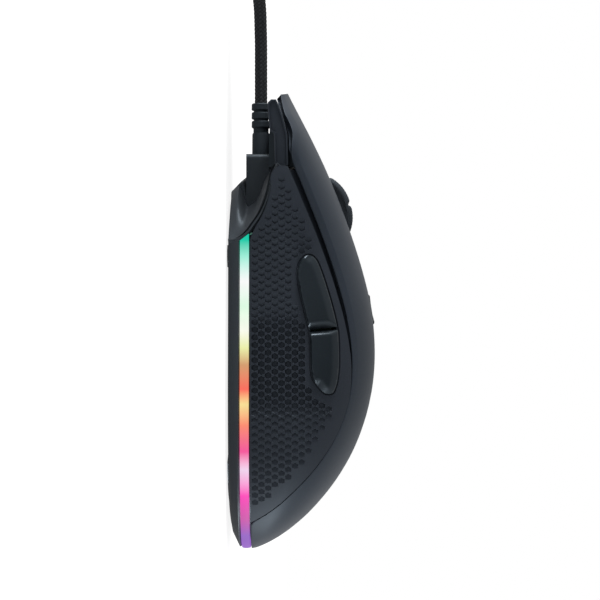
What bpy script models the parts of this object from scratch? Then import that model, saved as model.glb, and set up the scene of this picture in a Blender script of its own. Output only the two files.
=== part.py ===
"""A wired gaming mouse with a lit base strip, modelled as its separate pieces.

+Y is the nose, +X the right side, +Z up, and the feet stand on z = 0. Sizes here are millimetres.
"""

import math

import bmesh
import bpy
import numpy as np
from mathutils import Matrix, Vector

MM = 0.001
GAP = 0.3  # clearance kept between neighbouring pieces

# Overall body
LENGTH = 127.0
NOSE = LENGTH / 2
TAIL = -LENGTH / 2
HALF_WIDTH = 34.0
TAIL_ROUND_FROM = -20.0  # behind here the plan outline rounds off to the tail
ROUNDNESS = 2.6  # superellipse exponent of the tail outline and of each cross-section
UNDERCUT = 0.06  # how far the side leans in at the desk, as a fraction of its width
WIDEST_SHARE = 0.35  # height of the widest level, between the strip and the crown

# Heights of the layers
SOLE = 0.6
FLOOR_TOP = 2.1
STRIP_BOTTOM = 3.5
STRIP_TOP = 6.25
PCB_BOTTOM = 4.6
PCB_TOP = 6.2
SHELL = 2.2
WALL = 1.8

# Places along the length
HINGE_Y = -8.0  # where the button plates flex from the palm cover
STRIP_FRONT = 22.0
CHIN_FRONT = 37.4
PANEL_FRONT = 41.0
PANEL_BACK = -54.0

# Centre line
SPINE_HALF = 6.5
SPINE_DROP = 0.7
SLOT_HALF = 4.6
WHEEL_Y = 28.9
WHEEL_Z = 21.4
WHEEL_R = 13.0
WHEEL_HALF = 3.5
AXLE_R = 1.5
DPI_Y = 3.0

# Screws, circuit boards and switches
SCREW_NAMES = ["rear_left", "rear_right", "front_left", "front_right"]
SCREWS = [(-22.0, -34.0), (22.0, -34.0), (-24.0, 23.6), (24.0, 23.6)]
SCREW_HEAD_R = 2.2
SCREW_R = 1.1
BOSS_BOTTOM = 2.8
BOARD_SCREWS = [(-16.0, -20.0), (16.0, -20.0)]
BOARD = PCB_TOP + GAP  # what stands on the board starts here
SENSOR_Y = -9.0
SWITCH_X = 15.0
SWITCH_Y = 21.0
SWITCH_TOP = BOARD + 6.5
SMALL_SWITCH = 4.3
MIDDLE_Y = 11.5
WELL = 1.5  # depth of the well that a switch's plunger is pushed into
PLUNGER_R = 1.6
PLUNGER_SUNK = 0.7
PLUNGER_RISE = 0.8

# Buttons
BUTTON_HINGE = (18.0, HINGE_Y, 37.0)  # of the right button; the left one mirrors it
DPI_HOME_Z = 38.0
THUMB_SWITCH_X = -19.8
THUMB_SWITCH_Y = {"forward_button": 8.0, "back_button": -11.0}
THUMB_Z = 24.6
THUMB_HOME_X = -31.0
SPLIT_Y = -1.7  # where the thumb buttons meet, at height THUMB_Z, and how their ends lean
SPLIT_LEAN = 0.23

# Nose below the buttons, each curve as (height, along the length)
FRONT_WALL = 1.3
SHELL_BACK = [(3.0, STRIP_FRONT + 2.0), (STRIP_TOP, STRIP_FRONT + 4.2), (9.3, 30.6), (11.6, 37.8), (13.4, 42.0)]
SNOUT_ROOT = [(3.0, 30.0), (5.2, 31.6), (7.5, 33.6), (8.9, 36.0), (10.9, 40.7), (13.4, 43.4)]
SNOUT_CORNER = 1.2

# Cable
CORD_R = 1.75
CORD_Z = 8.75
BOOT_BACK = 43.4
BOOT_FRONT = 60.8
SNOUT_FRONT = 46.2
SNOUT_HALF = 7.0
COIL_X = -6.0
COIL_Y = 128.0
COIL_MIDDLE_R = 20.0
COIL_HALF = 7.6
COIL_BOTTOM = 0.9
COIL_TOP = 14.6
COIL_SECTION = [  # as (fraction of the half width, height)
    (-0.55, COIL_BOTTOM), (0.55, COIL_BOTTOM), (1.0, COIL_BOTTOM + 3.4), (1.0, COIL_TOP - 3.4),
    (0.55, COIL_TOP), (-0.55, COIL_TOP), (-1.0, COIL_TOP - 3.4), (-1.0, COIL_BOTTOM + 3.4),
]
TIE_WIDTH = 10.0
TIE_THICK = 0.9
TIE_INNER_SLACK = 1.4  # the coil's inner side curves towards the tie's ends
PLUG_START = 14.8
PLUG_Y = 155.0
PLUG_Z = 4.2

# The cord's routes: from the boot to the desk and the coil, from the coil to the plug, and inside the body
LEAD = [
    (0.0, BOOT_FRONT + GAP, CORD_Z), (0.0, 70.0, CORD_Z), (-0.6, 80.0, 8.7), (-3.0, 90.0, 8.2),
    (-8.6, 95.8, 6.6), (-16.4, 99.6, 5.2), (-24.9, 104.2, 4.6),
]
TAIL_LEAD = [(3.0, 156.6, 4.2), (8.5, 155.6, 4.2), (14.4, 155.0, 4.2)]
INNER_CABLE = [
    (-0.3, 42.6, CORD_Z), (-1.8, 39.6, CORD_Z), (-3.9, 35.8, CORD_Z), (-7.4, 31.8, 8.8), (-12.0, 30.7, 8.8),
]

# Outlines as seen from the side: (along the length, height)
CROWN_TOP = 40.6
CROWN = [
    (TAIL, 7.5), (-60.1, 13.6), (-55.1, 20.2), (-48.3, 26.7), (-38.2, 33.5), (-28.1, 37.7), (-18.0, 40.0),
    (-8.0, CROWN_TOP), (3.9, 39.5), (14.0, 37.1), (24.1, 33.9), (41.0, 27.3), (56.2, 20.0), (NOSE, 16.5),
]
SEAM = [
    (TAIL, STRIP_TOP + GAP), (-54.5, STRIP_TOP + GAP), (-52.0, 10.2), (-43.7, 19.7), (-33.6, 27.7),
    (-23.0, 32.3), (-13.1, 33.7), (-6.4, 33.4), (0.8, 32.3), (9.4, 30.1), (21.9, 25.9), (36.3, 20.2),
    (43.0, 17.6), (52.0, 17.4), (58.0, 16.4), (NOSE, 14.5),
]
SEAM_GAP = [(PANEL_BACK, 0.6), (-9.0, 0.5), (3.0, 1.0), (20.0, 1.3), (PANEL_FRONT, 1.7)]
PANEL_LOWER = [(STRIP_FRONT, STRIP_TOP + GAP), (28.2, 9.3), (34.6, 11.6), (39.0, 12.8), (PANEL_FRONT, 14.4)]
PLAN = [  # half the greatest width along the length
    (TAIL_ROUND_FROM, HALF_WIDTH), (0.0, 32.6), (20.0, 31.2), (41.0, 31.4), (52.0, 30.6), (58.0, 28.6),
    (NOSE, 23.0),
]
POCKET = [
    (17.5, 22.2), (12.1, 18.8), (8.8, 19.0), (0.9, 21.5), (-8.8, 22.4), (-15.3, 23.1), (-18.7, 24.7),
    (-20.4, 27.2), (-19.2, 29.5), (-10.2, 30.7), (-0.4, 29.3), (10.2, 26.4), (15.5, 24.6),
]

COLOURS = {
    "shell_plastic": ((0.035, 0.042, 0.050), 0.55, 0.0),
    "panel_plastic": ((0.022, 0.024, 0.027), 0.60, 0.0),
    "base_plastic": ((0.024, 0.030, 0.032), 0.50, 0.0),
    "gloss_plastic": ((0.012, 0.014, 0.016), 0.25, 0.0),
    "tyre_rubber": ((0.016, 0.018, 0.021), 0.75, 0.0),
    "light_guide": ((0.85, 0.80, 0.78), 0.30, 0.0),
    "skate_ptfe": ((0.02, 0.02, 0.02), 0.45, 0.0),
    "board_green": ((0.01, 0.09, 0.04), 0.45, 0.0),
    "component_black": ((0.02, 0.02, 0.02), 0.50, 0.0),
    "component_white": ((0.75, 0.74, 0.70), 0.45, 0.0),
    "lens_clear": ((0.80, 0.82, 0.84), 0.08, 0.0),
    "steel": ((0.60, 0.60, 0.60), 0.30, 1.0),
    "cord_braid": ((0.025, 0.027, 0.030), 0.85, 0.0),
    "boot_rubber": ((0.030, 0.034, 0.040), 0.70, 0.0),
    "tie_fabric": ((0.015, 0.015, 0.016), 0.95, 0.0),
}


def smooth(knots):
    """A smooth curve through (position, value) knots, as a function of the position."""
    at, value = np.array(sorted(knots), float).T
    slope = np.gradient(value, at)

    def read(position):
        i = int(np.clip(np.searchsorted(at, position) - 1, 0, len(at) - 2))
        step = at[i + 1] - at[i]
        u = min(max((position - at[i]) / step, 0.0), 1.0)
        start = value[i] * (1 + 2 * u) + slope[i] * step * u
        end = value[i + 1] * (3 - 2 * u) - slope[i + 1] * step * (1 - u)
        return start * (1 - u) ** 2 + end * u**2

    return read


crown = smooth(CROWN)
seam_curve = smooth(SEAM)
seam_gap = smooth(SEAM_GAP)
panel_lower = smooth(PANEL_LOWER)
plan_front = smooth(PLAN)
front_shell_back = smooth(SHELL_BACK)
snout_root = smooth(SNOUT_ROOT)


def seam(y):
    """Height of the crown shells' lower edge."""
    return max(seam_curve(y), STRIP_TOP + GAP)


def plan(y):
    """Half the body's greatest width at y."""
    if y > TAIL_ROUND_FROM:
        return plan_front(y)
    reach = min((TAIL_ROUND_FROM - y) / (TAIL_ROUND_FROM - TAIL), 1.0)
    return HALF_WIDTH * (1 - reach**ROUNDNESS) ** (1 / ROUNDNESS)


def widest_level(y):
    return STRIP_BOTTOM + WIDEST_SHARE * (crown(y) - STRIP_BOTTOM)


def half_width(y, z):
    """Half the body's width at height z."""
    level = widest_level(y)
    if z < level:
        return plan(y) * (1 - UNDERCUT * ((level - z) / level) ** 2)
    rise = min((z - level) / (crown(y) - level), 1.0)
    return plan(y) * (1 - rise**ROUNDNESS) ** (1 / ROUNDNESS)


def clear_scene():
    for thing in list(bpy.data.objects):
        bpy.data.objects.remove(thing)


def material(name):
    made = bpy.data.materials.get(name)
    if made:
        return made
    colour, roughness, metallic = COLOURS[name]
    made = bpy.data.materials.new(name)
    made.use_nodes = True
    made.diffuse_color = (*colour, 1.0)
    shader = made.node_tree.nodes["Principled BSDF"]
    shader.inputs["Base Color"].default_value = (*colour, 1.0)
    shader.inputs["Roughness"].default_value = roughness
    shader.inputs["Metallic"].default_value = metallic
    return made


def add_piece(name, points, faces, finish, origin=(0, 0, 0), cutter=False):
    """One closed mesh, from points in millimetres. Its origin is where its joint turns or slides."""
    mesh = bpy.data.meshes.new(name)
    home = Vector(origin)
    mesh.from_pydata([(Vector(point) - home) * MM for point in points], [], faces)
    work = bmesh.new()
    work.from_mesh(mesh)
    bmesh.ops.recalc_face_normals(work, faces=work.faces)
    work.to_mesh(mesh)
    work.free()
    mesh.shade_smooth()
    mesh.set_sharp_from_angle(angle=math.radians(35))
    piece = bpy.data.objects.new(name, mesh)
    piece.location = home * MM
    bpy.context.collection.objects.link(piece)
    if cutter:
        piece.hide_render = True
        piece.display_type = "WIRE"
    else:
        mesh.materials.append(material(finish))
    return piece


def boolean(piece, others, operation):
    for other in others:
        step = piece.modifiers.new(f"{operation.lower()} {other.name}", "BOOLEAN")
        step.operation = operation
        step.object = other
    return piece


def shell(name, outer, inner, finish, **options):
    """A closed patch of wall between two grids of points with equal rows and columns."""
    rows, columns = len(outer), len(outer[0])
    points = [point for row in outer for point in row] + [point for row in inner for point in row]
    inside = rows * columns

    def corner(row, column, side):
        return side * inside + row * columns + column

    faces = []
    for i in range(rows - 1):
        for j in range(columns - 1):
            ring = [(i, j), (i, j + 1), (i + 1, j + 1), (i + 1, j)]
            faces.append([corner(*place, 0) for place in ring])
            faces.append([corner(*place, 1) for place in reversed(ring)])
    border = [(0, j) for j in range(columns)] + [(i, columns - 1) for i in range(1, rows)]
    border += [(rows - 1, j) for j in reversed(range(columns - 1))]
    border += [(i, 0) for i in reversed(range(1, rows - 1))]
    for here, after in zip(border, border[1:] + border[:1]):
        faces.append([corner(*here, 1), corner(*after, 1), corner(*after, 0), corner(*here, 0)])
    return add_piece(name, points, faces, finish, **options)


def loft(name, rings, finish, **options):
    """A closed solid through rings of points with equal counts, capped at both ends."""
    count = len(rings[0])
    points = [point for ring in rings for point in ring]
    faces = [list(range(count)), [len(points) - count + i for i in reversed(range(count))]]
    for level in range(len(rings) - 1):
        for i in range(count):
            j = (i + 1) % count
            low, high = level * count, (level + 1) * count
            faces.append([low + i, low + j, high + j, high + i])
    return add_piece(name, points, faces, finish, **options)


def box(name, low, high, finish, bevel=0.0, **options):
    """A box between two corners, with its edges rounded by bevel."""
    (x0, y0, z0), (x1, y1, z1) = low, high
    rings = [[(x0, y0, z), (x1, y0, z), (x1, y1, z), (x0, y1, z)] for z in (z0, z1)]
    piece = loft(name, rings, finish, **options)
    if bevel:
        rounding = piece.modifiers.new("rounding", "BEVEL")
        rounding.width = bevel * MM
        rounding.segments = 2
    return piece


def turned(name, profile, finish, centre=(0, 0, 0), axis="Z", sides=24, **options):
    """A solid of revolution. The profile is (along the axis, radius) from one end to the other."""
    turn = {
        "X": Matrix.Rotation(math.pi / 2, 3, "Y"),
        "Y": Matrix.Rotation(-math.pi / 2, 3, "X"),
        "Z": Matrix.Identity(3),
    }
    home = Vector(centre)
    rings = []
    for along, radius in profile:
        angles = [2 * math.pi * i / sides for i in range(sides)]
        ring = [Vector((radius * math.cos(a), radius * math.sin(a), along)) for a in angles]
        rings.append([home + turn[axis] @ point for point in ring])
    return loft(name, rings, finish, **options)


def rod(name, start, length, radius, finish, axis="Z", **options):
    return turned(name, [(0, radius), (length, radius)], finish, centre=start, axis=axis, **options)


def round_cutter(name, start, length, radius):
    """An upright rod that only cuts or joins, and isn't a piece."""
    return rod(name, start, length, radius, None, sides=12, cutter=True)


def outward(path):
    """Unit normals in plan, out of the body, for a path from its right side round the tail to its left."""
    points = np.array([point[:2] for point in path])
    along = np.gradient(points, axis=0)
    along /= np.linalg.norm(along, axis=1)[:, None]
    return np.stack([-along[:, 1], along[:, 0]], axis=1)


def inset(path, distance):
    """The path moved towards the inside of the body."""
    moved = []
    for (x, y, z), (nx, ny) in zip(path, outward(path)):
        moved.append((x - nx * distance, y - ny * distance, z))
    return moved


def tail_stations(front, straight_steps, round_steps):
    """Positions along the length from the front to the tail, closer together where the outline rounds off."""
    ys = list(np.linspace(front, TAIL_ROUND_FROM, straight_steps, endpoint=False))
    for angle in np.linspace(0, math.pi / 2, round_steps):
        ys.append(TAIL_ROUND_FROM + (TAIL - TAIL_ROUND_FROM) * math.sin(angle) ** (2 / ROUNDNESS))
    return ys


def rim_path(front, z, straight_steps=8, round_steps=14):
    """The body's outline at height z, from its right front round the tail to its left front."""
    ys = tail_stations(front, straight_steps, round_steps)
    right = [(half_width(y, z), y, z) for y in ys]
    left = [(-x, y, z) for x, y, z in reversed(right[:-1])]
    return right + left


def chin_path(z, wide, front):
    """The rounded front of the base in plan, from its right side to its left."""
    angles = np.linspace(0, math.pi, 15)[1:-1]
    return [(wide * math.cos(a), STRIP_FRONT + (front - STRIP_FRONT) * math.sin(a), z) for a in angles]


def base_shell():
    """The tray that everything is screwed into, with the sensor window and the screw holes."""
    wide = half_width(STRIP_FRONT, STRIP_BOTTOM)
    top = rim_path(STRIP_FRONT, STRIP_BOTTOM) + chin_path(STRIP_BOTTOM, -wide, CHIN_FRONT)
    bottom = [(0.90 * x, max(0.86 * y, -54.0) if y < 0 else 0.96 * y, SOLE) for x, y, _ in top]
    middle = [(0.975 * x, 0.96 * y, 1.6) for x, y, _ in top]
    ledge = [(0.945 * x, 0.97 * y, z) for x, y, z in top]
    floor = [(0.93 * x, 0.955 * y, FLOOR_TOP) for x, y, _ in top]
    tray = loft("base_shell", [bottom, middle, top, ledge, floor], "base_plastic")
    holes = [box("window_cutter", (-4, SENSOR_Y - 5.5, 0), (4, SENSOR_Y + 5.5, 3), None, cutter=True)]
    for x, y in SCREWS:
        holes.append(round_cutter(f"screw_hole_{x:.0f}_{y:.0f}", (x, y, 0), 3.0, SCREW_HEAD_R + GAP))
    posts = []
    for x, y in BOARD_SCREWS:
        posts.append(round_cutter(f"board_post_{x:.0f}", (x, y, 1.5), PCB_BOTTOM - GAP - 1.5, 2.6))
        holes.append(round_cutter(f"post_hole_{x:.0f}", (x, y, FLOOR_TOP + 0.1), 4.0, SCREW_R + GAP))
    boolean(tray, posts, "UNION")
    return boolean(tray, holes, "DIFFERENCE")


def case_screws():
    for name, (x, y) in zip(SCREW_NAMES, SCREWS):
        profile = [(1.0, SCREW_HEAD_R), (2.4, SCREW_HEAD_R), (2.4, SCREW_R), (8.4, SCREW_R)]
        turned(f"case_screw_{name}", profile, "steel", centre=(x, y, 0), sides=12)


def feet():
    """Low-friction skates: a wide one under the nose and one round the tail."""
    front = [(-19, 14.5), (19, 14.5), (21, 16.5), (21, 19), (19, 20.5), (-19, 20.5), (-21, 19), (-21, 16.5)]
    loft("front_foot", [[(x, y, z) for x, y in front] for z in (0.0, 0.35)], "skate_ptfe")
    arc = [math.radians(a) for a in np.linspace(200, 340, 15)]
    outer = [(21 * math.cos(a), -32 + 19 * math.sin(a)) for a in arc]
    inner = [(14 * math.cos(a), -32 + 13 * math.sin(a)) for a in reversed(arc)]
    loft("rear_foot", [[(x, y, z) for x, y in outer + inner] for z in (0.0, 0.35)], "skate_ptfe")


def light_strip():
    """The translucent band between the base and the shells, open at the nose."""
    levels = (STRIP_BOTTOM + GAP, STRIP_TOP - GAP)
    low, high = (rim_path(STRIP_FRONT, z, 7, 14) for z in levels)
    outer = [inset(low, 0.15), inset(high, 0.15)]
    inner = [inset(low, 2.4), inset(high, 2.4)]
    return shell("light_strip", outer, inner, "light_guide")


def led_board():
    """The flexible strip of LEDs that lights the band from inside."""
    low, high = (rim_path(STRIP_FRONT - 4, z, 6, 12) for z in (STRIP_BOTTOM + 0.4, STRIP_TOP - 0.4))
    outer = [inset(low, 3.0), inset(high, 3.0)]
    inner = [inset(low, 3.5), inset(high, 3.5)]
    return shell("led_flex_board", outer, inner, "component_white")


def side_panel(side):
    """The grip panel: -1 is the left one, which has the thumb buttons' pocket."""
    name = "left_side_panel" if side < 0 else "right_side_panel"
    outer, inner = [], []
    for y in np.linspace(PANEL_FRONT, PANEL_BACK, 26):
        low = panel_lower(y) if y > STRIP_FRONT else STRIP_TOP + GAP
        high = max(seam(y) - seam_gap(y), low + 0.5)
        levels = np.linspace(low, high, 7)
        outer.append([(side * half_width(y, z), y, z) for z in levels])
        inner.append([(side * (half_width(y, z) - WALL), y, z) for z in levels])
    panel = shell(name, outer, inner, "panel_plastic")
    if side > 0:
        return panel
    rings = [[(x, y, z) for y, z in POCKET] for x in (-40.0, -20.0)]
    return boolean(panel, [loft("pocket_cutter", rings, None, cutter=True)], "DIFFERENCE")


def shell_section(y, low, steps, innermost=0.0):
    """Points of the crown's cross-section, from height low on the right side up to x = innermost."""
    level, top, wide = widest_level(y), crown(y), plan(y)
    start = math.asin(min(max((low - level) / (top - level), 0.0), 1.0) ** (ROUNDNESS / 2))
    stop = math.acos(min(innermost / wide, 1.0) ** (ROUNDNESS / 2)) if innermost else math.pi / 2
    points = []
    for angle in np.linspace(start, stop, steps):
        x = wide * max(math.cos(angle), 0.0) ** (2 / ROUNDNESS)
        points.append((x, y, level + (top - level) * math.sin(angle) ** (2 / ROUNDNESS)))
    if low < level:
        points[0] = (half_width(y, low), y, low)
    return points


def inner_point(x, y, z, innermost=0.0):
    """The inner face of a crown shell: the outer one drawn in by the shell's thickness."""
    y_in = y * (1 - SHELL / NOSE)
    x_in = x * (1 - SHELL / HALF_WIDTH)
    z_in = max(z - SHELL * (z - STRIP_TOP) / (CROWN_TOP - STRIP_TOP) - 0.5, seam(y_in) + 0.02)
    return max(x_in, innermost), y_in, z_in


def palm_cover():
    """The palm shell behind the button plates, with the two rear screw bosses."""
    ys = tail_stations(HINGE_Y - GAP, 4, 14)
    ys[-1] = TAIL + 0.25
    outer, inner = [], []
    for y in ys:
        right = shell_section(y, seam(y), 12)
        within = [inner_point(*point) for point in right]
        outer.append(right + [(-x, b, z) for x, b, z in reversed(right[:-1])])
        inner.append(within + [(-x, b, z) for x, b, z in reversed(within[:-1])])
    cover = shell("palm_cover", outer, inner, "shell_plastic")
    bosses = []
    for name, (x, y) in zip(SCREW_NAMES[:2], SCREWS[:2]):
        bosses.append(screw_boss(f"palm_boss_{name}", x, y, crown(y) - 8.5))
    return boolean(cover, bosses, "UNION")


def screw_boss(name, x, y, top):
    """A tube for a case screw, joined to the shell at its top."""
    profile = [(2.9, SCREW_R + GAP), (8.9, SCREW_R + GAP), (8.9, 0.3), (9.2, 0.3)]
    boss = round_cutter(name, (x, y, BOSS_BOTTOM), top - BOSS_BOTTOM, 2.8)
    profile = [(z - 0.5, r) for z, r in profile]
    bore = turned(f"{name}_bore", profile, None, centre=(x, y, 0), sides=12, cutter=True)
    return boolean(boss, [bore], "DIFFERENCE")


def button_plate(side):
    """A main button: a plate over half the nose, with the post that reaches down to its switch."""
    name = "left_button" if side < 0 else "right_button"
    innermost = SPINE_HALF + GAP
    outer, inner = [], []
    for y in list(np.linspace(HINGE_Y + 0.1, 58.0, 18)) + [61.0, NOSE]:
        section = shell_section(y, seam(y), 10, innermost)
        outer.append([(side * x, b, z) for x, b, z in section])
        within = [inner_point(*point, innermost) for point in section]
        inner.append([(side * x, b, z) for x, b, z in within])
    plate = shell(name, outer, inner, "shell_plastic", origin=(side * BUTTON_HINGE[0], *BUTTON_HINGE[1:]))
    x, y = side * SWITCH_X, SWITCH_Y
    low = (x - 2.0, y - 2.0, SWITCH_TOP + 2 * GAP + PLUNGER_RISE)
    post = box(f"{name}_post", low, (x + 2.0, y + 2.0, crown(y) - 2.6), None, cutter=True)
    return boolean(plate, [post], "UNION")


def centre_spine():
    """The recessed strip between the buttons, with the wheel's slot and the DPI button's hole."""
    outer, inner = [], []
    for y in np.linspace(HINGE_Y + 0.1, 60.0, 18):
        top = crown(y) - SPINE_DROP
        xs = np.linspace(-SPINE_HALF, SPINE_HALF, 5)
        outer.append([(x, y, top) for x in xs])
        inner.append([(x, y, top - SHELL) for x in xs])
    spine = shell("centre_spine", outer, inner, "gloss_plastic")
    slot = box("wheel_slot", (-SLOT_HALF, 14.5, 20), (SLOT_HALF, 43.5, 45), None, cutter=True)
    hole = box("dpi_hole", (-3.6, DPI_Y - 4.8, 20), (3.6, DPI_Y + 4.8, 50), None, cutter=True)
    return boolean(spine, [slot, hole], "DIFFERENCE")


def dpi_button():
    """The sensitivity button, with its long post down to a switch on the board."""
    low, high = DPI_Y - 4.4, DPI_Y + 4.4
    rings = []
    for x in (-3.2, -2.6, 0.0, 2.6, 3.2):
        rise = 0.0 if abs(x) > 3 else 0.5
        ys = np.linspace(low, high, 5)
        top = [(x, y, crown(y) - SPINE_DROP + 0.6 + rise) for y in ys]
        bottom = [(x, y, crown(y) - SPINE_DROP - SHELL) for y in reversed(ys)]
        rings.append(top + bottom)
    cap = loft("dpi_button", rings, "gloss_plastic", origin=(0, DPI_Y, DPI_HOME_Z))
    foot = BOARD + SMALL_SWITCH + PLUNGER_RISE + GAP
    post = round_cutter("dpi_post", (0, DPI_Y, foot), crown(DPI_Y) - 2.5 - foot, 1.5)
    return boolean(cap, [post], "UNION")


def fender(side):
    """The insert under a button's nose, which turns down at the front."""
    name = "left_fender" if side < 0 else "right_fender"
    rings = []
    for x in (7.6, 12.0, 17.0, 22.0, 25.0, 27.0):
        front = min(60.2, 60.2 - 0.13 * max(x - 15.0, 0.0) ** 1.5)
        profile = [(42.2, 13.8), (front - 6.2, 13.4), (front - 2.2, 11.2), (front, 11.4), (front, 13.6)]
        profile += [(front - 4.5, 15.6), (42.2, 15.9)]
        rings.append([(side * x, y, z) for y, z in profile])
    return loft(name, rings, "panel_plastic")


def front_lower_shell():
    """The nose below the buttons: it sweeps in from both sides to the box that the cable leaves from."""
    outer, inner = [], []
    for z in (3.9, 5.0, 6.2, 7.6, 9.0, 10.2, 11.4, 12.4, 13.2):
        back, root = front_shell_back(z), snout_root(z)
        side = half_width(back, z) - 0.6
        bend = (0.45 * side + 0.55 * SNOUT_HALF, 0.5 * (back + root) + 0.8)
        half = []
        for t in np.linspace(0, 1, 9)[:-1]:
            x = (1 - t) ** 2 * side + 2 * t * (1 - t) * bend[0] + t**2 * SNOUT_HALF
            y = (1 - t) ** 2 * back + 2 * t * (1 - t) * bend[1] + t**2 * root
            half.append((x, y, z))
        half += [(SNOUT_HALF, y, z) for y in (root, 0.5 * (root + SNOUT_FRONT), SNOUT_FRONT - SNOUT_CORNER)]
        half.append((SNOUT_HALF - SNOUT_CORNER, SNOUT_FRONT, z))
        ring = half + [(0.0, SNOUT_FRONT, z)] + [(-x, y, z) for x, y, _ in reversed(half)]
        outer.append(ring)
        inner.append([(x, y, z) for x, y, z in inset(ring[::-1], FRONT_WALL)][::-1])
    nose = shell("front_lower_shell", outer, inner, "base_plastic")
    joined = []
    for name, (x, y) in zip(SCREW_NAMES[2:], SCREWS[2:]):
        joined.append(screw_boss(f"nose_boss_{name}", x, y, 9.4))
    joined.append(box("snout_floor", (-6.4, 34.6, 4.05), (6.4, 45.6, 4.8), None, cutter=True))
    boolean(nose, joined, "UNION")
    hole = rod("snout_hole", (0, 42.0, CORD_Z), 6.0, 2.7, None, axis="Y", sides=16, cutter=True)
    return boolean(nose, [hole], "DIFFERENCE")


def wheel():
    """The scroll wheel: a lobed rubber tyre on a hub that turns on its axle."""
    home = (0, WHEEL_Y, WHEEL_Z)
    lobes, steps = 12, 72
    rings_out, rings_in = [], []
    for x, drop in ((-WHEEL_HALF, 1.0), (-2.6, 0.0), (2.6, 0.0), (WHEEL_HALF, 1.0)):
        outside, inside = [], []
        for i in range(steps):
            angle = 2 * math.pi * i / steps
            groove = 0.9 * max(0.0, math.cos(lobes * angle)) ** 6
            r = WHEEL_R - drop - groove
            outside.append((x, WHEEL_Y + r * math.cos(angle), WHEEL_Z + r * math.sin(angle)))
            inside.append((x, WHEEL_Y + 9.6 * math.cos(angle), WHEEL_Z + 9.6 * math.sin(angle)))
        rings_out.append(outside)
        rings_in.append(inside)
    closed_rings(rings_out + rings_in[::-1], "wheel_tyre", "tyre_rubber", home)
    hub = [(-3.4, 2.0), (-3.4, 9.3), (3.4, 9.3), (3.4, 2.0)]
    rings = []
    for x, r in hub:
        angles = [2 * math.pi * i / 32 for i in range(32)]
        rings.append([(x, WHEEL_Y + r * math.cos(a), WHEEL_Z + r * math.sin(a)) for a in angles])
    closed_rings(rings, "wheel_hub", "component_white", home)
    rod("wheel_axle", (-8.0, WHEEL_Y, WHEEL_Z), 17.0, AXLE_R, "steel", axis="X", sides=16, origin=home)


def closed_rings(rings, name, finish, origin):
    """A ring-shaped solid: each ring joins the next one, and the last joins the first."""
    count, levels = len(rings[0]), len(rings)
    points = [point for ring in rings for point in ring]
    faces = []
    for level in range(levels):
        after = (level + 1) % levels
        for i in range(count):
            j = (i + 1) % count
            faces.append([level * count + i, level * count + j, after * count + j, after * count + i])
    return add_piece(name, points, faces, finish, origin=origin)


def wheel_carrier():
    """The cradle that holds the axle and moves down with it to click the middle switch."""
    profile = [(17.0, 7.0), (31.0, 7.0), (33.5, 13.0), (33.0, 24.5), (25.0, 24.5), (17.0, 14.0)]
    rings = [[(x, y, z) for y, z in profile] for x in (-6.0, 6.0)]
    cradle = loft("wheel_carrier", rings, "component_black")
    well = box("carrier_well", (-4.6, 10, 7.9), (4.6, 48, 30), None, cutter=True)
    start = (-9, WHEEL_Y, WHEEL_Z)
    bore = rod("carrier_bore", start, 18, AXLE_R + GAP, None, axis="X", sides=16, cutter=True)
    arm_bottom = BOARD + SMALL_SWITCH + PLUNGER_RISE + GAP
    arm = box("carrier_arm", (-5.4, 8.5, arm_bottom), (5.4, 17.8, arm_bottom + 1.4), None, cutter=True)
    boolean(cradle, [well], "DIFFERENCE")
    boolean(cradle, [arm], "UNION")
    return boolean(cradle, [bore], "DIFFERENCE")


def cut_outline(outline, value):
    """The part of an outline where value, a linear function of its points, is positive."""
    kept = []
    for here, after in zip(outline, outline[1:] + outline[:1]):
        a, b = value(*here), value(*after)
        if a > 0:
            kept.append(here)
        if (a > 0) != (b > 0):
            t = a / (a - b)
            kept.append((here[0] + t * (after[0] - here[0]), here[1] + t * (after[1] - here[1])))
    return kept


def thumb_button(name, end):
    """A thumb button: its face stands out of the pocket, and its stem reaches in to its switch."""
    centre_y = sum(y for y, _ in POCKET) / len(POCKET)
    centre_z = sum(z for _, z in POCKET) / len(POCKET)
    drawn_in = [(centre_y + 0.965 * (y - centre_y), centre_z + 0.90 * (z - centre_z)) for y, z in POCKET]
    outline = cut_outline(drawn_in, lambda y, z: end * (y - SPLIT_Y - SPLIT_LEAN * (z - THUMB_Z)) - GAP)
    mid_y = sum(y for y, _ in outline) / len(outline)
    mid_z = sum(z for _, z in outline) / len(outline)
    rings = []
    for depth, shrink in ((-3.0, 1.0), (1.2, 1.0), (1.9, 0.88)):
        ring = [(mid_y + shrink * (y - mid_y), mid_z + shrink * (z - mid_z)) for y, z in outline]
        rings.append([(-(half_width(y, z) + depth), y, z) for y, z in ring])
    y = THUMB_SWITCH_Y[name]
    face = loft(name, rings, "gloss_plastic", origin=(THUMB_HOME_X, y, THUMB_Z))
    low = (-29.5, y - 1.6, THUMB_Z - 1.4)
    high = (THUMB_SWITCH_X - SMALL_SWITCH - PLUNGER_RISE - GAP, y + 1.6, THUMB_Z + 1.4)
    return boolean(face, [box(f"{name}_stem", low, high, None, cutter=True)], "UNION")


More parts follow.
